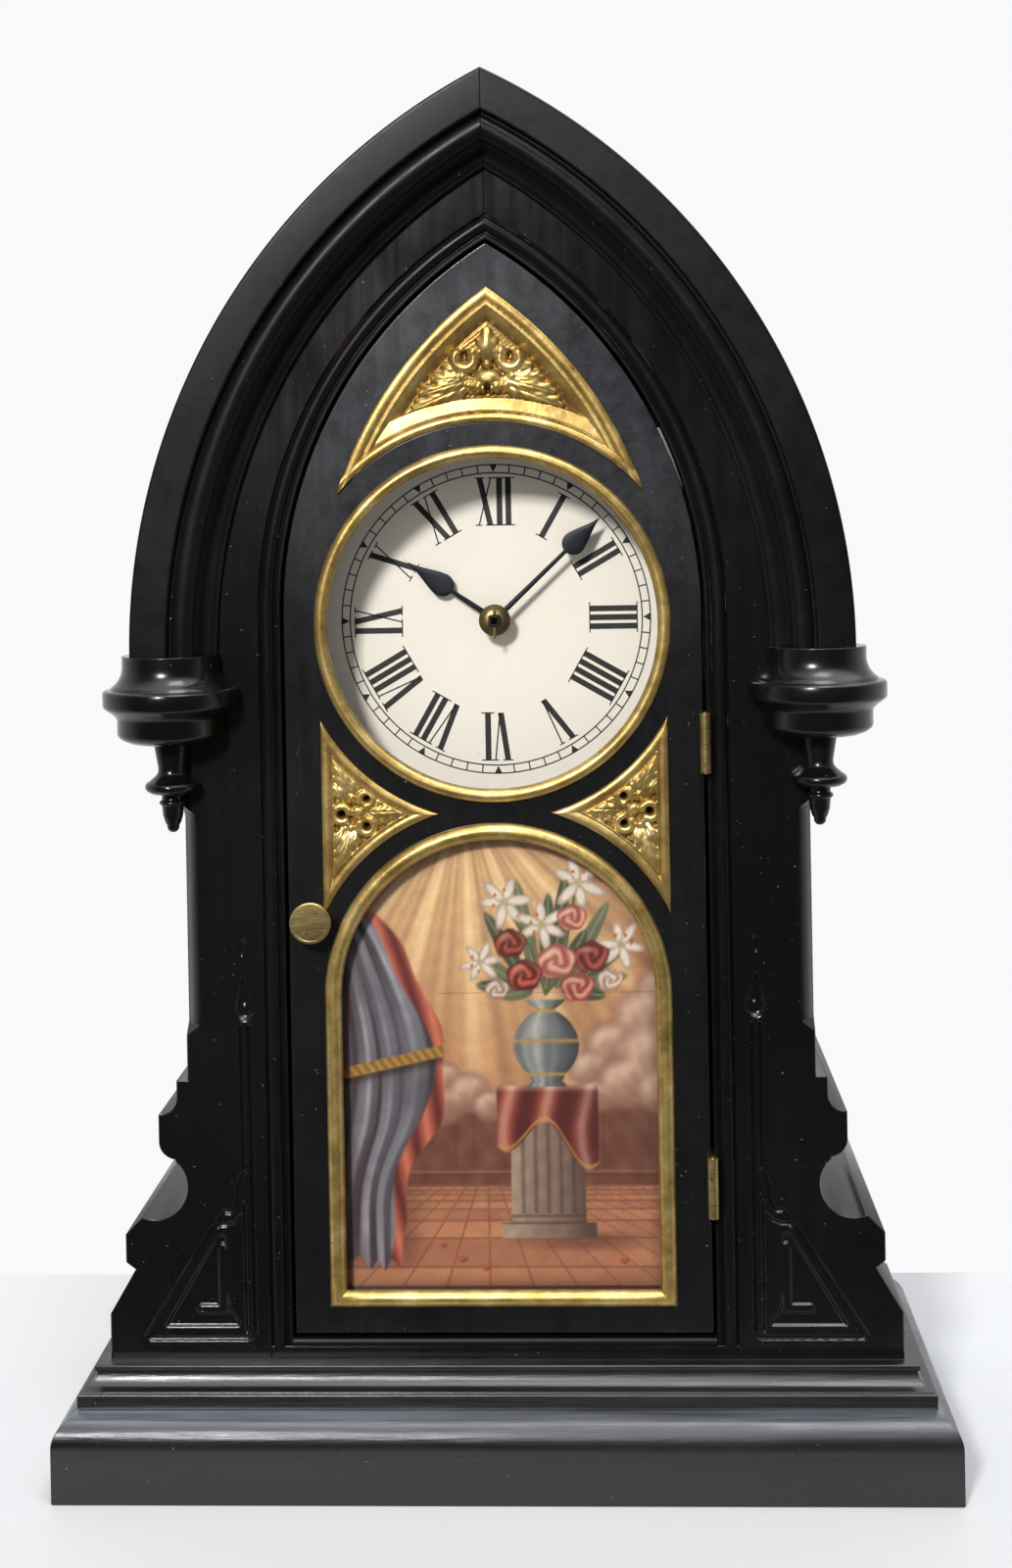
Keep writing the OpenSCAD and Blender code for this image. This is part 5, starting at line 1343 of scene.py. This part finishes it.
# %% Brass, steel and blued steel
def metal(name, dark, light, rough, brush=(1, 1, 1), speck=0.0):
    """A metal between two tones, with brush lines along one way."""
    t = Tree(name)
    colour = t.ramp(t.noise(45, 5, 0.6), (0.3, dark), (0.72, light))
    if speck:
        spot = t.ramp(t.noise(230, 4, 0.6), (0.3, 1.0), (0.38, 0.0))
        colour = t.mix(spot, colour, (0.10, 0.06, 0.03, 1))
    gloss = t.ramp(t.noise(120, 4, 0.6, brush), (0.3, rough), (0.75, rough + 0.16))
    bump = t.bump(t.noise(700, 3, 0.5, brush), 0.12, 0.0001)
    return t.finish(color=colour, rough=gloss, metal=1.0, bump=bump)


BRASS = metal("old_brass", (0.30, 0.215, 0.08), (0.56, 0.44, 0.19), 0.33, (1, 1, 12), 1)
STEEL = metal("polished_steel", (0.32, 0.32, 0.33), (0.5, 0.5, 0.52), 0.22, (1, 14, 1))
BLUED = metal("blued_steel_finish", (0.018, 0.019, 0.023), (0.036, 0.039, 0.047), 0.42)
DARK_STEEL = metal("dull_dark_steel", (0.030, 0.024, 0.024), (0.075, 0.062, 0.060), 0.45)

# %% Paper, print, glass, wood and the painted board
def paper():
    """Cream paper, faintly mottled, browner in clouds, with a slight tooth."""
    t = Tree("dial_paper_finish")
    colour = t.ramp(t.noise(30, 5, 0.6), (0.3, (0.85, 0.785, 0.665)),
                    (0.72, (0.90, 0.84, 0.725)))
    stain = t.ramp(t.noise(300, 3, 0.6), (0.26, 1.0), (0.31, 0.0))
    colour = t.mix(t.math("MULTIPLY", stain, 0.25), colour, (0.45, 0.33, 0.2, 1))
    bump = t.bump(t.noise(1200, 2, 0.5), 0.12, 0.00008)
    return t.finish(color=colour, rough=0.62, bump=bump)


def ink():
    """Printing ink: soft black, a little worn so that the paper greys it."""
    t = Tree("printing_ink")
    colour = t.ramp(t.noise(520, 4, 0.7), (0.3, (0.008, 0.007, 0.007)),
                    (0.8, (0.022, 0.020, 0.018)))
    return t.finish(color=colour, rough=0.55)


def glass():
    """Old clear glass as a thin pane: it lets the view through, and mirrors by angle."""
    t = Tree("clear_pane")
    wave = t.bump(t.noise(9, 2, 0.5), 0.05, 0.0003)
    shine = t.add("BsdfGlossy", {"Roughness": 0.03, "Normal": wave})
    return t.end_with(t.add("MixShader", {0: t.add("Fresnel", {"IOR": 1.45}),
                                          1: t.add("BsdfTransparent"), 2: shine}))


def wood(name, dark, light, rough=0.6):
    """Plain sawn softwood with upright grain, lighter and darker rings and fine pores."""
    t = Tree(name)
    ring = t.noise(26, 3, 0.5, (1, 1, 0.07))
    fine = t.noise(340, 4, 0.6, (1, 1, 0.05))
    tone = t.math("ADD", t.math("MULTIPLY", ring, 0.7), t.math("MULTIPLY", fine, 0.3))
    colour = t.ramp(tone, (0.38, dark), (0.62, light))
    bump = t.bump(fine, 0.3, 0.0003)
    return t.finish(color=colour, rough=rough, bump=bump)


def board():
    """The print's own colours under varnish, with a faint canvas-like tooth."""
    t = Tree("painted_board_finish")
    colour = t.add("Attribute", out=0, attribute_name="painting")
    tone = t.ramp(t.noise(240, 4, 0.6), (0.3, 0.9), (0.7, 1.0))
    colour = t.mix(1.0, colour, tone, "MULTIPLY")
    bump = t.bump(t.noise(800, 2, 0.5), 0.1, 0.0001)
    return t.finish(color=colour, rough=0.42, bump=bump)


FINISH = {"ebonised_wood": LACQUER, "gilding": GOLD, "brass": BRASS, "steel": STEEL,
          "blued_steel": BLUED, "dial_paper": paper(), "clear_glass": glass(),
          "plain_wood": wood("stained_softwood", (0.085, 0.045, 0.022), (0.20, 0.115, 0.058)),
          "painted_board": board()}
INK = ink()

# %% Put each finish on its pieces
slot_of = {part["node"]: part["material_slot"] for part in frame["record"]["subparts"]}


def coat(piece, material):
    """Gives every material slot of a piece the same finish."""
    piece.data.materials.clear()
    piece.data.materials.append(material)


nodes = frame["nodes"]
for node, piece in nodes.items():
    coat(piece, FINISH[slot_of[node]])
for material, *pieces in (
        (LACQUER, shell), (SOFT_LACQUER, door_bead), (DOOR_LACQUER, nodes["door_frame"]),
        (RUBBED, plinth, moulding, nodes["base_board"]), (GOLD, dial_ring, picture_bead),
        (BRASS, knob, collet), (DARK_STEEL, arbor_end), (INK, dial_print),
        (FINISH["painted_board"], picture)):
    for piece in pieces:
        coat(piece, material)
by_start = {"carved_front": LACQUER, "turned_drop": LACQUER, "hood_moulding": SOFT_LACQUER,
            "gilt_top": CARVED_GOLD, "gilt_corner": CARVED_GOLD, "filed_": BLUED}
for piece in bpy.context.scene.objects:
    for start, material in by_start.items():
        if piece.name.startswith(start):
            coat(piece, material)

# %% [markdown]
# ## Camera
# The camera stands where the photograph was taken: a little right of the middle, level
# with the picture's upper edge, and turned a few degrees to the left. Its three rotation
# angles and its focal length were worked out from points of the photograph.

# %% Camera
def level_frame(yaw, pitch, roll):
    """Right, up and backward directions of a camera that looks along +Y, turned by yaw
    about Z, raised by pitch and rolled about its own line of sight."""
    cy, sy, cp, sp, cr, sr = (f(a) for a in (yaw, pitch, roll) for f in (math.cos, math.sin))
    right, ahead, up = np.array([cy, sy, 0]), np.array([-sy, cy, 0]), np.array([0, 0, 1])
    look, top = ahead * cp + up * sp, -ahead * sp + up * cp
    return right * cr + top * sr, -right * sr + top * cr, -look


def stand(thing, place, *axes):
    """Puts a thing at a place in metres, its own X, Y and Z along three directions."""
    turn = Matrix([[*row, 0] for row in np.stack(axes, 1)] + [[0, 0, 0, 1]])
    thing.matrix_world = Matrix.Translation(place) @ turn


# The focal length, the image's height and its shift are in pixels of the photograph.
focal, tall, shift, sensor = 2125.73, 1600, 275, 36
lens = bpy.data.cameras.new("camera")
lens.sensor_width, lens.sensor_fit = sensor, "AUTO"
lens.lens = sensor * focal / tall
lens.shift_y = -shift / tall
lens.clip_start = 0.01
eye = add_object("camera", lens)
stand(eye, (0.045137, -0.94277, 0.416623),
      *level_frame(0.04275913, -0.00439222, -0.01796483))
bpy.context.scene.camera = eye
print("lens", round(lens.lens, 2), "mm")

# %% [markdown]
# ## Table, backdrop and lamps
# The clock stands on a white table whose back edge shows as a faint line behind it. The
# backdrop is the world itself, white to the camera and dim as a lamp, so that the black
# lacquer keeps its depth. Two broad soft lamps stand in front.

# %% Table and world
def staged(name, loops, material):
    """A closed piece of the stage, which is no part of the clock."""
    mesh = bpy.data.meshes.new(name)
    n = len(loops[0])
    faces = [[k, (k + 1) % n, n + (k + 1) % n, n + k] for k in range(n)]
    faces += [list(range(n))[::-1], list(range(n, 2 * n))]
    mesh.from_pydata((np.concatenate(loops) * MM).tolist(), [], faces)
    mesh.materials.append(material)
    thing = add_object(name, mesh)


t = Tree("white_table")
# Painted light: the table is lighter towards its back, which lifts the shade behind the clock; the
# noise after it is an uneven tone.
table_tone_and_painted_light = t.mix(t.rise(t.place("Y"), -0.28, 0.17), (0.62, 0.625, 0.63, 1), (0.81, 0.815, 0.82, 1))
table_tone_and_painted_light = t.mix(1.0, table_tone_and_painted_light, t.ramp(t.noise(3, 3, 0.5), (0.3, 0.965), (0.7, 1.0)), "MULTIPLY")
table_white = t.finish(color=table_tone_and_painted_light, rough=0.6)
corners = np.array([(-900, -165), (900, -165), (900, 184), (-900, 184)], float)
staged("table", [np.column_stack([corners, np.full(4, z)]) for z in (-30.0, 0.0)],
       table_white)

world = bpy.data.worlds.new("studio")
bpy.context.scene.world = world
w = Tree("studio", world, "OutputWorld")
# What reflects finds the room dark on the camera's side and bright behind the clock, with
# a ceiling that is brighter at the right. Other surfaces get a dim even light, and the
# camera itself sees white.
behind_clock = w.rise(w.place("Y", "Generated"), -0.65, 0.4, 0.05, 1.0)
ceiling = w.math("MULTIPLY", w.rise(w.place("Z", "Generated"), 0.5, 0.85, 0.0, 3.6),
                 w.rise(w.place("X", "Generated"), -0.75, 0.15, 0.25, 1.0))
mirrored = w.math("MAXIMUM", w.add("LightPath", out="Is Glossy Ray"),
                  w.add("LightPath", out="Is Transmission Ray"))
dim = w.add("Background", {0: (0.97, 0.98, 1.0, 1), 1: 0.55})
room_light = w.add("Background", {0: (0.97, 0.985, 1.0, 1),
                                  1: w.math("MAXIMUM", behind_clock, ceiling)})
white = w.add("Background", {0: (0.935, 0.95, 0.965, 1)})
lit = w.add("MixShader", {0: mirrored, 1: dim, 2: room_light})
w.end_with(w.add("MixShader", {0: w.add("LightPath", out="Is Camera Ray"), 1: lit, 2: white}))


# %% Lamps
def lamp(name, place, target, size, watts, colour=(1, 1, 1)):
    """A square soft lamp at a place in metres, aimed at a target."""
    light = bpy.data.lights.new(name, "AREA")
    light.shape, light.size, light.energy, light.color = "SQUARE", size, watts, colour
    back = np.array(place) - np.array(target)
    back = back / np.linalg.norm(back)
    side = np.cross((0, 0, 1), back)
    side = side / np.linalg.norm(side)
    stand(add_object(name, light), place, side, np.cross(back, side), back)


lamp("front_lamp", (-0.55, -2.1, 1.36), (0, 0, 0.33), 0.30, 56)
lamp("top_lamp", (0.3, -0.8, 2.05), (0, 0, 0.3), 0.7, 16, (0.93, 0.96, 1.0))

# %% View transform
bpy.context.scene.view_settings.view_transform = "Standard"
